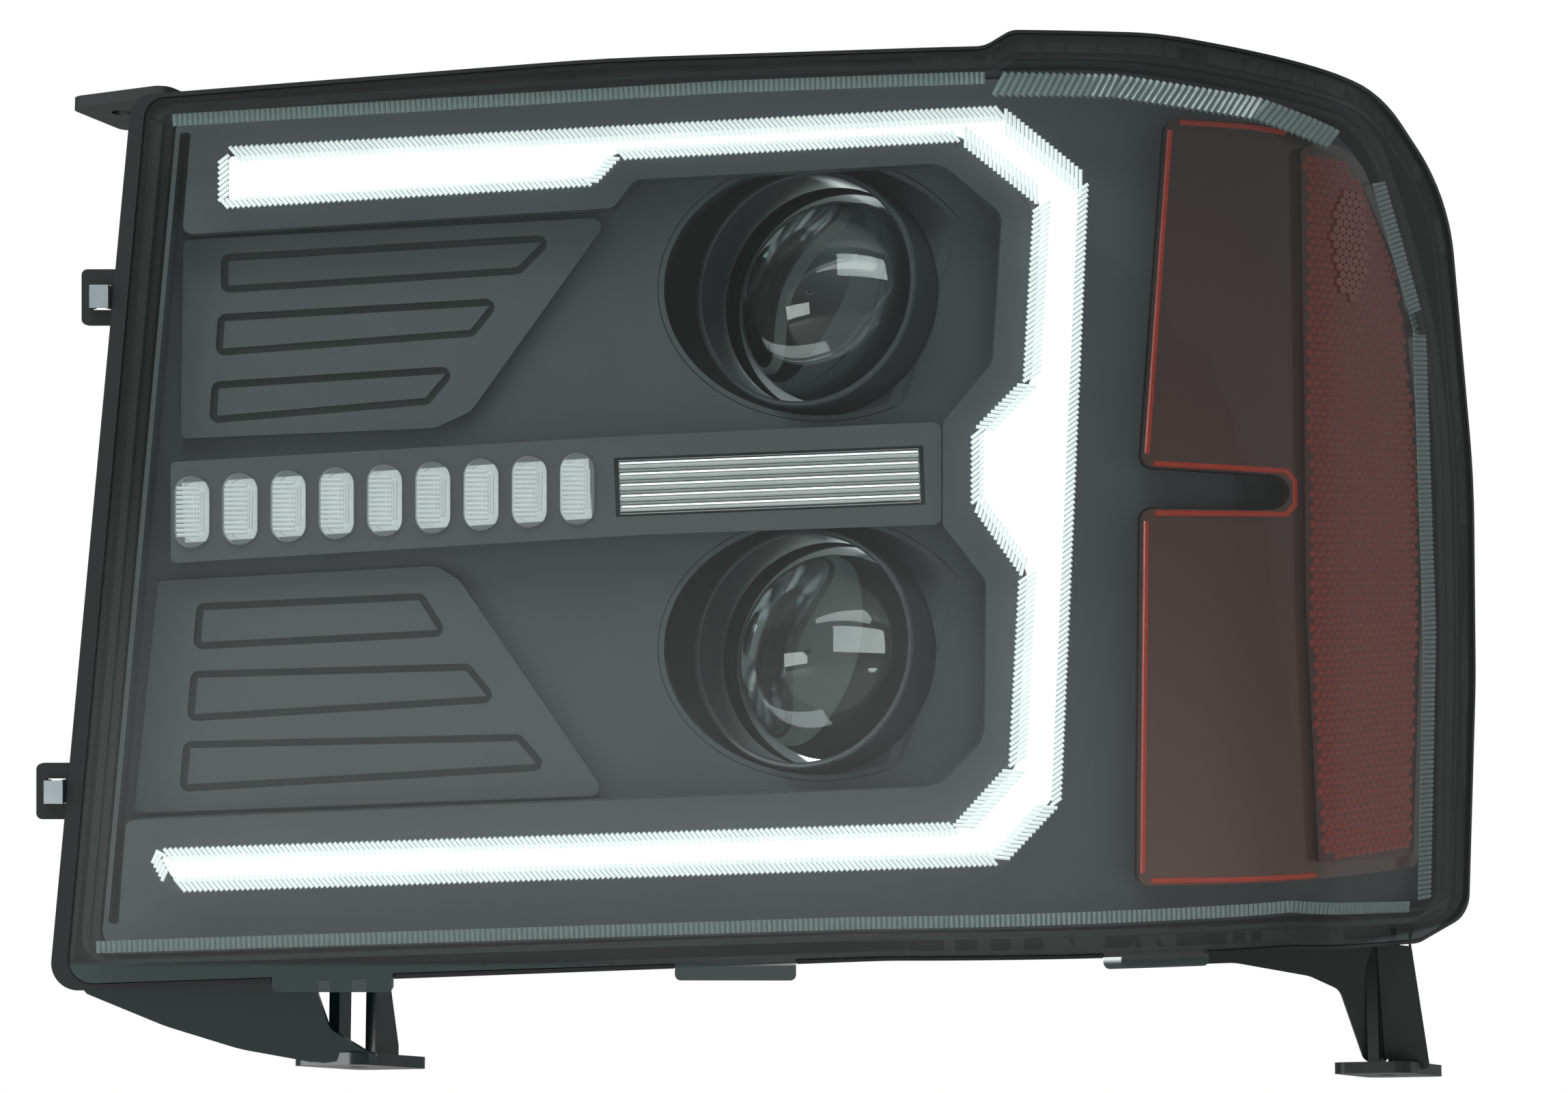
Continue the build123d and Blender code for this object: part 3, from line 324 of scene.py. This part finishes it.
def piece(name, mesh_in, material, body):
    """Makes an object from a bmesh, dresses it, and rides it on a body."""
    mesh = bpy.data.meshes.new(name)
    bmesh.ops.recalc_face_normals(mesh_in, faces=mesh_in.faces)
    mesh_in.to_mesh(mesh)
    mesh_in.free()
    made = bpy.data.objects.new(name, mesh)
    bpy.context.collection.objects.link(made)
    mesh.materials.append(material)
    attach(made, body)
    return made


# ------------------------------------------------------------------ shapes laid on the model's surfaces
def surface_of(name):
    """Search tree over a CAD node, for finding its surface from the front."""
    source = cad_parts[name].data
    corners = [vertex.co for vertex in source.vertices]
    return BVHTree.FromPolygons(corners, [tuple(face.vertices) for face in source.polygons])


def joined_to(start):
    """Every vertex that edges join to the ones given, themselves included."""
    found, waiting = set(start), list(start)
    while waiting:
        for edge in waiting.pop().link_edges:
            for end in edge.verts:
                if end not in found:
                    found.add(end)
                    waiting.append(end)
    return found


def follow(mesh_in, tree, sink=0.0):
    """Drops a shape drawn in face millimetres onto a surface: Z is its height above it, less a sink.

    A ridge that misses the surface anywhere is left out whole, so that what stays is closed.
    """
    lost = []
    for vertex in mesh_in.verts:
        u, v, height = vertex.co
        hit, normal, _, _ = tree.ray_cast(place(u, v, -60.0), -OUT)
        if hit is None or normal.dot(OUT) < 0.3:
            lost.append(vertex)
        else:
            vertex.co = hit + normal * (height - sink) * MM
    missed = joined_to(lost)
    bmesh.ops.delete(mesh_in, geom=[vertex for vertex in mesh_in.verts if vertex in missed], context="VERTS")


def add_prism(mesh_in, centre, length, width, height, angle):
    """Ridge with a triangular section, in face millimetres, lying at an angle on Z = 0."""
    made = bmesh.ops.create_cube(mesh_in, size=1.0)["verts"]
    for vertex in made:
        on_top = vertex.co.z > 0
        vertex.co.x *= length * (0.96 if on_top else 1.0)
        vertex.co.y *= width * (0.16 if on_top else 1.0)
        vertex.co.z = height if on_top else -0.1
    bmesh.ops.rotate(mesh_in, verts=made, cent=(0, 0, 0), matrix=Matrix.Rotation(angle, 3, "Z"))
    bmesh.ops.translate(mesh_in, verts=made, vec=(*centre, 0.0))


def inside(corners, u, v):
    """True if a point lies inside a closed run of corners."""
    within = False
    for (au, av), (bu, bv) in zip(corners, corners[1:] + corners[:1]):
        if (av > v) != (bv > v) and u < (bu - au) * (v - av) / (bv - av) + au:
            within = not within
    return within


def run_along(corners, pitch, closed=True):
    """Points and directions at an even pitch along a run of corners."""
    ends = corners[1:] + corners[:1] if closed else corners[1:]
    for (au, av), (bu, bv) in zip(corners, ends):
        length = math.hypot(bu - au, bv - av)
        steps = max(1, round(length / pitch))
        for step in range(steps):
            share = (step + 0.5) / steps
            yield au + (bu - au) * share, av + (bv - av) * share, math.atan2(bv - av, bu - au)


LIGHT_BAR = [
    (-186.5, 110.5), (-186.5, 131.8), (72.0, 145.3), (101.0, 122.5), (91.8, -85.0), (72.5, -105.2),
    (-203.0, -114.2), (-210.0, -101.0), (-205.0, -98.8), (56.0, -90.0), (73.5, -71.0), (76.8, -9.0),
    (61.0, 13.0), (61.0, 38.0), (78.2, 55.5), (81.6, 113.0), (57.0, 132.3), (-54.0, 126.5), (-62.0, 118.0),
]
REFLEX = [
    (181, -107), (176, -21), (175.2, 57), (173.8, 135), (195.5, 132.5), (217.5, 97), (228.5, 30), (228, -20),
    (224, -110),
]
REFLEX_OVAL = (194.0, 104.0, 8.0, 19.0)  # smooth oval near the reflex's top: centre and half axes
CELL_PITCH = 2.9
CELL_FIELD = (173.0, -108.0, 58.0, 245.0)  # left and low edge, width and height of the honeycomb
CELL_MARGIN = 1.9  # smooth border round it
# how far the prisms reach in from each side of the light bar
BORDER = [3.5, 5.2, 7, 3.4, 6, 4.6, 3.5, 3, 4.2, 6, 5.5, 5, 4, 5, 5.5, 5.5, 3.5, 3.5, 3.2]
PRISM_PITCH = 1.75  # a little coarser than the real one, so that it shows
AMBER_UPPER = [(119.5, 25.0), (128.0, 140.5), (156.0, 140.0), (180.0, 138.0)]
AMBER_LOWER = [(180.0, -111.5), (118.5, -110.5), (119.7, 11.0), (169.0, 10.8), (172.2, 14.0), (172.2, 22.0),
               (169.0, 25.3), (119.5, 27.5)]
CHROME_CENTRE, CHROME_TILT, CHROME_LENGTH = (-4.8, 21.6), 2.3, 99.4
CHROME_BARS, CHROME_PITCH, CHROME_DEPTH, CHROME_RADIUS = 5, 3.6, 25.4, 1.5
RIM_TOP = [(-200.0, 139.3), (-20.0, 150.0), (66.0, 153.0)]
RIM_BUMP = [(70.0, 151.0), (110.0, 151.0), (160.0, 145.5), (190.0, 138.0)]
RIM_SIDE = [(210.0, 127.0), (229.5, 78.0), (234.5, -30.0), (232.0, -126.0)]
RIM_BOTTOM = [(225.0, -127.6), (172.0, -120.6), (20.0, -123.0), (-225.0, -131.0)]
PODS = [(-196.5 + 16.0 * i, 11.5 + 0.95 * i) for i in range(9)]
POD_FLUTES, POD_FLUTE_PITCH = 13, 1.55
POD_HALF_WIDTH, POD_STRAIGHT = 5.2, 6.2  # each pod's round ends start this far above and below its middle


def flute_mesh(surface, runs, sink):
    """Ridges along runs, each given as (corners, pitch, length, slant, height), under one surface."""
    ridges = bmesh.new()
    for corners, pitch, length, slant, height in runs:
        for u, v, heading in run_along(corners, pitch, closed=False):
            add_prism(ridges, (u, v), length, pitch * 0.92, height, heading + slant)
    follow(ridges, surface, sink)
    return ridges


def light_bar_prisms():
    """Slanted prisms along both borders of the light bar, leaning opposite ways."""
    ridges = bmesh.new()
    for (au, av), (bu, bv), reach in zip(LIGHT_BAR, LIGHT_BAR[1:] + LIGHT_BAR[:1], BORDER):
        for u, v, heading in run_along([(au, av), (bu, bv)], PRISM_PITCH, closed=False):
            centre = (u + math.sin(heading) * (reach / 2 + 0.5), v - math.cos(heading) * (reach / 2 + 0.5))
            if inside(LIGHT_BAR, *centre):
                length = reach / math.cos(math.radians(38))
                add_prism(ridges, centre, length, PRISM_PITCH * 0.7, 0.5, heading - math.radians(52))
    follow(ridges, surface_of("light_bar_lens"))
    return ridges


def chrome_ribs():
    """Five rounded bars along the trim, each drawn out from a round bar and eased at its ends."""
    bars = bmesh.new()
    for step in range(CHROME_BARS):
        made = bmesh.ops.create_cone(bars, cap_ends=True, segments=20, depth=CHROME_LENGTH,
                                     radius1=CHROME_RADIUS, radius2=CHROME_RADIUS)
        verts = made["verts"]
        bmesh.ops.rotate(bars, verts=verts, cent=(0, 0, 0), matrix=Matrix.Rotation(math.radians(90), 3, "Y"))
        bmesh.ops.translate(bars, verts=verts, vec=(0.0, (step - CHROME_BARS // 2) * CHROME_PITCH, 0.0))
    ends = [edge for edge in bars.edges if any(len(face.verts) > 4 for face in edge.link_faces)]
    bmesh.ops.bevel(bars, geom=ends, offset=0.4, segments=2, profile=0.5, affect="EDGES", material=-1)
    tilt = Matrix.Rotation(math.radians(CHROME_TILT), 3, "Z")
    bmesh.ops.rotate(bars, verts=bars.verts, cent=(0, 0, 0), matrix=tilt)
    for vertex in bars.verts:
        u, v = vertex.co.x + CHROME_CENTRE[0], vertex.co.y + CHROME_CENTRE[1]
        depth = CHROME_DEPTH + SKIN_AT_MIDDLE + SKIN_SLOPE * u
        vertex.co = place(u, v, depth - vertex.co.z)
    return bars


def edge_bead(corners, node_name, width, height):
    """Rounded bead that runs along an outline on a surface, made of short overlapping lengths."""
    bead = bmesh.new()
    for u, v, heading in run_along(corners, 3.0, closed=False):
        made = bmesh.ops.create_cube(bead, size=1.0)["verts"]
        for vertex in made:
            on_top = vertex.co.z > 0
            vertex.co.x *= 3.4
            vertex.co.y *= width * (0.55 if on_top else 1.0)
            vertex.co.z = height if on_top else -0.1
        bmesh.ops.rotate(bead, verts=made, cent=(0, 0, 0), matrix=Matrix.Rotation(heading, 3, "Z"))
        bmesh.ops.translate(bead, verts=made, vec=(u, v, 0.0))
    follow(bead, surface_of(node_name))
    return bead


def reflex_cells():
    """Honeycomb of six-sided pyramids over the side reflex, with flat tops in its smoother oval."""
    cells = bmesh.new()
    pitch = CELL_PITCH
    row_step = pitch * math.sqrt(3) / 2
    left, low, across, tall = CELL_FIELD
    turn = Matrix.Rotation(math.radians(30), 3, "Z")
    for row in range(int(tall / row_step)):
        v = low + row * row_step
        for column in range(int(across / pitch)):
            u = left + (column + 0.5 * (row % 2)) * pitch
            ou, ov, half_u, half_v = REFLEX_OVAL
            smooth = ((u - ou) / half_u) ** 2 + ((v - ov) / half_v) ** 2 < 1.0
            sides = ((1, 0), (-1, 0), (0, 1), (0, -1))
            if all(inside(REFLEX, u + du * CELL_MARGIN, v + dv * CELL_MARGIN) for du, dv in sides):
                made = bmesh.ops.create_cone(cells, cap_ends=True, segments=6, radius1=pitch * 0.55,
                                             radius2=pitch * (0.5 if smooth else 0.08), depth=0.9)["verts"]
                bmesh.ops.rotate(cells, verts=made, cent=(0, 0, 0), matrix=turn)
                bmesh.ops.translate(cells, verts=made, vec=(u, v, 0.4))
    follow(cells, surface_of("side_reflex"))
    return cells


def pod_ribs():
    """Horizontal flutes over the inboard half of each pod and a fine upright set at its middle."""
    ribs = bmesh.new()
    for u, v in PODS:
        for step in range(POD_FLUTES):
            rise = (step - POD_FLUTES // 2) * POD_FLUTE_PITCH
            reach = math.sqrt(max(0.0, POD_HALF_WIDTH ** 2 - max(0.0, abs(rise) - POD_STRAIGHT) ** 2))
            add_prism(ribs, (u - 1.2, v + rise), reach * 1.5, 1.3, 0.35, 0.0)
        for step in range(4):
            add_prism(ribs, (u + 1.0 + step * 1.0, v), 13.0, 0.7, 0.35, math.radians(90))
    follow(ribs, surface_of("led_pods"))
    return ribs


# ------------------------------------------------------------------ settings that a user may change
class HeadlampColours(bpy.types.PropertyGroup):
    """Colours and glow of the lamp."""

    bar_glow: bpy.props.FloatProperty(
        name="Light bar glow", description="How strongly the light bar shines",
        default=1.15, min=0.0, max=20.0)
    pod_glow: bpy.props.FloatProperty(
        name="Pod glow", description="How strongly the nine pods shine",
        default=1.1, min=0.0, max=20.0)
    bezel_dark: bpy.props.StringProperty(
        name="Bezel shade", description="Darker sRGB hex colour of the bezel", default="#42474a")
    bezel_light: bpy.props.StringProperty(
        name="Bezel light", description="Lighter sRGB hex colour of the bezel", default="#4e5357")
    lens_tint: bpy.props.StringProperty(
        name="Lens tint", description="sRGB hex colour that the cover lets through", default="#f5f8f7")
    reflex_red: bpy.props.StringProperty(
        name="Reflex colour", description="sRGB hex colour of the side reflex", default="#8c220a")


class HeadlampStudio(bpy.types.PropertyGroup):
    """Sizes of the stage."""

    camera_distance: bpy.props.FloatProperty(
        name="Camera distance", description="From the face to the camera",
        default=1.4, min=0.5, unit="LENGTH")
    camera_lens: bpy.props.FloatProperty(
        name="Camera lens", description="Focal length", default=98.8, min=20.0, unit="CAMERA")
    floor_drop: bpy.props.FloatProperty(
        name="Floor drop", description="How far the floor lies below the lamp's feet", default=0.12, min=0.0,
        unit="LENGTH")


# ------------------------------------------------------------------ operators
class HEADLAMP_OT_plastics(bpy.types.Operator):
    """Finish the moulded plastic: bezel, panels, shrouds, housing, brackets, caps and connector"""

    bl_idname = "headlamp.plastics"
    bl_label = "Moulded plastics"

    def execute(self, context):
        colours = context.scene.headlamp_colours
        # moulded ABS with a satin charcoal skin: soft wide highlights and a faint grain
        bezel = satin_plastic("Satin charcoal ABS", colours.bezel_dark, colours.bezel_light, 0.42, 0.5, 0.008)
        for name in ("main_bezel", "upper_bowl", "lower_bowl"):
            dress(name, bezel)
        # the same plastic with a slightly paler, smoother skin on the set-in panels, and painted shade,
        # nearly black, in the sunk bands round each louvre
        panel = moulded_panel("Satin charcoal ABS panel", "#484e51", "#545a5d", "#1c2122")
        for name in ("upper_louvre_panel", "lower_louvre_panel", "centre_bar"):
            dress(name, panel)
        # moulded ABS with a polished tool: deep dark skin that mirrors the lamps softly
        shroud = satin_plastic("Polished dark ABS", "#282e2f", "#333a3b", 0.3, 0.9, 0.006, coat=0.15)
        for name in ("upper_shroud", "lower_shroud"):
            dress(name, shroud)
        # talc-filled polypropylene: nearly black, dull, with a coarse spark-eroded grain
        housing = satin_plastic("Black polypropylene", "#0d0f10", "#17191b", 0.5, 0.9, 0.04)
        dress("housing_shell", housing)
        # glass-filled nylon: black with a slight sheen and a fibrous grain
        nylon = satin_plastic("Black glass-filled nylon", "#0a0c0d", "#141819", 0.4, 0.7, 0.03)
        for name in ("outboard_bracket", "connector_inlet", "upper_rear_cap", "lower_rear_cap",
                     "carrier_frame"):
            dress(name, nylon)
        # the same nylon off a polished tool; its teal-black base colour is a painted reflection, standing in
        # for a cold green-blue cast to its gloss
        gloss = satin_plastic("Gloss black nylon", "#081c1b", "#0d2b29", 0.3, 1.4, 0.01, coat=0.1)
        dress("inboard_bracket", gloss)
        # butyl and moulded rubber: black and dull, with a dusty drift
        rubber = satin_plastic("Black rubber", "#0f0f10", "#1b1b1c", 0.7, 0.5, 0.03)
        for name in ("lens_seal", "upper_cap_seal", "lower_cap_seal", "turn_socket_seal", "vent_caps"):
            dress(name, rubber)
        # unfilled acetal: milky white and waxy
        acetal = satin_plastic("Natural acetal", "#c9c7bd", "#d8d6cd", 0.38, 0.8, 0.01)
        for name in ("pivot_bushes", "aim_nut"):
            dress(name, acetal)
        # grey nylon bulb holder
        dress("turn_socket", satin_plastic("Grey nylon", "#6a6e6f", "#7d8182", 0.45, 0.7, 0.02))
        # white solder mask over glass-fibre board
        board = satin_plastic("White solder mask", "#cfd2cf", "#e2e4e1", 0.35, 0.8, 0.008)
        dress("light_bar_board", board)
        return {"FINISHED"}


class HEADLAMP_OT_metals(bpy.types.Operator):
    """Finish the metal and metallised pieces: trim, rings, barrels, bowls, screws and clips"""

    bl_idname = "headlamp.metals"
    bl_label = "Metals"

    def execute(self, context):
        # chrome-plated ABS: a sharp cold mirror with the faint waviness of plated plastic
        chrome = bright_metal("Chrome-plated ABS", "#dce2e1", "#f2f5f4", 0.06, 9.0, 0.004)
        dress("chrome_trim", chrome)
        piece("chrome_ribs", chrome_ribs(), chrome, "housing")
        # chromed steel rings
        ring = bright_metal("Chromed steel", "#c3cacb", "#dfe4e4", 0.1, 2.0, 0.006)
        for name in ("upper_lens_retainer", "lower_lens_retainer"):
            dress(name, ring)
        # die-cast aluminium: pale grey, dull, with the mottled skin of the die
        cast = bright_metal("Die-cast aluminium", "#8b8f90", "#a5a8a9", 0.42, 0.9, 0.03)
        for name in ("upper_barrel", "lower_barrel", "led_driver"):
            dress(name, cast)
        # vacuum-aluminised bowls: a bright mirror
        mirror = bright_metal("Vacuum-aluminised plastic", "#d3d6d8", "#eceeee", 0.09, 4.0, 0.006)
        for name in ("upper_reflector_bowl", "lower_reflector_bowl"):
            dress(name, mirror)
        # the turn signal's reflector stands behind smoked acrylic, metallised dark
        dark_mirror = bright_metal("Dark metallised plastic", "#4a4648", "#5d585a", 0.25, 5.0, 0.01)
        dress("turn_reflector", dark_mirror)
        steel = brushed_steel("Zinc-plated steel", "#a9b6bb", "#cdd9dd")
        for name in ("bezel_screws", "ear_clips", "aim_screw", "cutoff_shield"):
            dress(name, steel)
        return {"FINISHED"}


class HEADLAMP_OT_glass(bpy.types.Operator):
    """Finish the projector lenses, the bulbs and the clear cover, and flute the cover's rim"""

    bl_idname = "headlamp.glass"
    bl_label = "Glass and cover"

    def execute(self, context):
        colours = context.scene.headlamp_colours
        # pressed borosilicate: a strong lens with a faint cold cast
        lens = solid_glass("Pressed borosilicate glass", "#f1f6f5", 1.52, 0.015)
        for name in ("upper_projector_lens", "lower_projector_lens"):
            dress(name, lens)
        # quartz bulb with its metal base drawn as one piece
        quartz = solid_glass("Quartz glass", "#e8edf2", 1.46, 0.05)
        for name in ("upper_bulb", "lower_bulb"):
            dress(name, quartz)
        dress("turn_bulb", solid_glass("Amber glass", "#ef9a3a", 1.5, 0.03))
        # hard-coated polycarbonate: thin and clear, cold grey-green where seen through its edges
        cover = thin_clear("Hard-coated polycarbonate", colours.lens_tint, 0.03, 0.03, ("#2f4240", rim_share))
        dress("outer_lens", cover)
        # fluted polycarbonate of the cover's own rim
        flutes = thin_clear("Fluted polycarbonate", "#b4c4c2", 0.12, 0.12, ("#9fb1b0", 0.45))
        across = math.radians(90)
        runs = [(RIM_TOP, 1.7, 4.0, across, 0.5), (RIM_BUMP, 2.3, 8.5, math.radians(62), 0.8),
                (RIM_SIDE, 1.7, 6.0, across, 0.5), (RIM_BOTTOM, 1.7, 4.0, across, 0.5)]
        piece("rim_flutes", flute_mesh(surface_of("outer_lens"), runs, COVER_WALL + 0.95), flutes, "housing")
        return {"FINISHED"}


class HEADLAMP_OT_lights(bpy.types.Operator):
    """Finish the light bar and the nine pods, with their prisms, flutes and glow"""

    bl_idname = "headlamp.lights"
    bl_label = "Light bar and pods"

    def execute(self, context):
        colours = context.scene.headlamp_colours
        # opal acrylic lit from behind
        dress("light_bar_diffuser", lit_plastic("Lit opal acrylic", "#ffffff", colours.bar_glow))
        dress("pod_led_board", lit_plastic("Lit white board", "#f4f6f6", colours.pod_glow))
        # clear acrylic light guide
        guide = thin_clear("Clear acrylic", "#f4f7f7", 0.05)
        dress("light_bar_lens", guide)
        # prisms cut in the guide: they throw the light out, paler than the core, with dark grooves between
        prism = lit_plastic("Prismatic acrylic", "#e4e8e8", 0.5, 0.2)
        piece("light_bar_prisms", light_bar_prisms(), prism, "housing")
        dress("led_pods", thin_clear("Clear moulded acrylic", "#eef1f1", 0.06, 0.04, ("#b5baba", 0.3)))
        # the pods' flutes throw out less light than the bar's prisms
        flute = lit_plastic("Fluted acrylic", "#c4c8c8", 0.3, 0.2)
        piece("pod_ribs", pod_ribs(), flute, "housing")
        return {"FINISHED"}


class HEADLAMP_OT_signal(bpy.types.Operator):
    """Finish the smoked amber lens and the side reflex, with its honeycomb of prisms"""

    bl_idname = "headlamp.signal"
    bl_label = "Turn signal and reflex"

    def execute(self, context):
        colours = context.scene.headlamp_colours
        # smoked acrylic: brown body that turns red where light runs along it, with painted shade darker
        # towards the top and a faint painted glow
        dress("amber_lens", tinted_acrylic("Smoked amber acrylic", "#2d1f21", "#66443e", 0.2, 0.03, 0.12))
        # the same acrylic at its edges, where light that runs inside it comes out red: a painted glow on a
        # redder bead
        edge = tinted_acrylic("Amber acrylic edge", "#7a1f0c", "#a8301a", 0.25, 0.15, 0.0)
        for name, corners in (("amber_edge_upper", AMBER_UPPER), ("amber_edge_lower", AMBER_LOWER)):
            piece(name, edge_bead(corners, "amber_lens", 2.0, 0.5), edge, "housing")
        # dyed acrylic reflex: red-orange, brighter at its smooth oval, with a painted glow though a reflex
        # gives no light of its own
        reflex = tinted_acrylic("Reflex acrylic", "#5a0e04", colours.reflex_red, 0.3, 0.09, 0.0)
        # its back wall, given painted shade so that it is seen as dark grooves between the prisms, with a
        # fainter painted glow
        dress("side_reflex", tinted_acrylic("Reflex acrylic with painted groove shade", "#2e0604", "#4a0c06", 0.35, 0.02, 0.0))
        piece("reflex_cells", reflex_cells(), reflex, "housing")
        return {"FINISHED"}


class HEADLAMP_OT_stage(bpy.types.Operator):
    """Add the pale floor, the soft lights and the camera, square to the lamp's face"""

    bl_idname = "headlamp.stage"
    bl_label = "Stage, lights and camera"

    def execute(self, context):
        studio = context.scene.headlamp_studio
        low = min(CAD_BOX[0][2], 0.0) - studio.floor_drop
        ground = bmesh.new()
        bmesh.ops.create_circle(ground, cap_ends=True, segments=96, radius=6.0)
        bmesh.ops.translate(ground, verts=ground.verts, vec=(0.16, 0.0, low))
        mesh = bpy.data.meshes.new("studio_floor")
        ground.to_mesh(mesh)
        ground.free()
        floor = bpy.data.objects.new("studio_floor", mesh)
        context.collection.objects.link(floor)
        mesh.materials.append(satin_plastic("Pale vinyl", "#e4e5e4", "#ebecea", 0.6, 3.0, 0.02))

        world = bpy.data.worlds.new("White studio")
        world.use_nodes = True
        # the lamp stands before white paper, but sees a dim room, so that its gloss stays dark
        sky = world.node_tree
        paper = sky.nodes["Background"]
        paper.inputs["Color"].default_value = (1.0, 1.0, 1.0, 1.0)
        room = node(sky, "ShaderNodeBackground", {"in:Color": linear("#eceeee"), "in:Strength": 0.42})
        seen = node(sky, "ShaderNodeLightPath").outputs["Is Camera Ray"]
        both = node(sky, "ShaderNodeMixShader", None, _0=seen, _1=room.outputs[0], _2=paper.outputs[0])
        sky.links.new(both.outputs[0], sky.nodes["World Output"].inputs[0])
        context.scene.world = world
        context.scene.view_settings.view_transform = "Standard"

        for name, place_uvw, size, power in (
            ("key_softbox", (-300.0, 1400.0, -900.0), 1.7, 22.0),
            ("side_softbox", (-1500.0, 100.0, -700.0), 0.8, 8.0),
            ("low_softbox", (100.0, -1200.0, -1000.0), 1.2, 6.0),
        ):
            light = bpy.data.lights.new(name, "AREA")
            light.shape = "RECTANGLE"
            light.size, light.size_y, light.energy = size, size * 0.4, power
            lamp = bpy.data.objects.new(name, light)
            context.collection.objects.link(lamp)
            lamp.location = place(*place_uvw)
            lamp.rotation_euler = (FACE_ORIGIN - lamp.location).to_track_quat("-Z", "Y").to_euler()

        data = bpy.data.cameras.new("face_camera")
        data.lens, data.sensor_width = studio.camera_lens, 36.0
        camera = bpy.data.objects.new("face_camera", data)
        context.collection.objects.link(camera)
        turn = Matrix((ACROSS, UP, OUT)).transposed().to_4x4()
        camera.matrix_world = Matrix.Translation(FACE_ORIGIN + OUT * studio.camera_distance) @ turn
        context.scene.camera = camera
        return {"FINISHED"}


class HEADLAMP_PT_panel(bpy.types.Panel):
    """Lists the lamp's steps and settings"""

    bl_idname = "HEADLAMP_PT_panel"
    bl_label = "Headlamp"
    bl_space_type = "VIEW_3D"
    bl_region_type = "UI"
    bl_category = "Headlamp"

    def draw(self, context):
        for group in (context.scene.headlamp_colours, context.scene.headlamp_studio):
            for name in group.__annotations__:
                self.layout.prop(group, name)
        for operator in STEPS:
            self.layout.operator(operator.bl_idname)


STEPS = (
    HEADLAMP_OT_stage, HEADLAMP_OT_plastics, HEADLAMP_OT_metals, HEADLAMP_OT_glass, HEADLAMP_OT_lights,
    HEADLAMP_OT_signal,
)
CLASSES = (HeadlampColours, HeadlampStudio, *STEPS, HEADLAMP_PT_panel)


def register():
    """Registers the settings, the steps and the panel."""
    for cls in CLASSES:
        bpy.utils.register_class(cls)
    bpy.types.Scene.headlamp_colours = bpy.props.PointerProperty(type=HeadlampColours)
    bpy.types.Scene.headlamp_studio = bpy.props.PointerProperty(type=HeadlampStudio)


def unregister():
    """Removes the settings, the steps and the panel."""
    del bpy.types.Scene.headlamp_studio
    del bpy.types.Scene.headlamp_colours
    for cls in reversed(CLASSES):
        bpy.utils.unregister_class(cls)


def main():
    """Runs every step in order."""
    register()
    for operator in STEPS:
        group, name = operator.bl_idname.split(".")
        getattr(getattr(bpy.ops, group), name)()


if __name__ == "__main__":
    main()
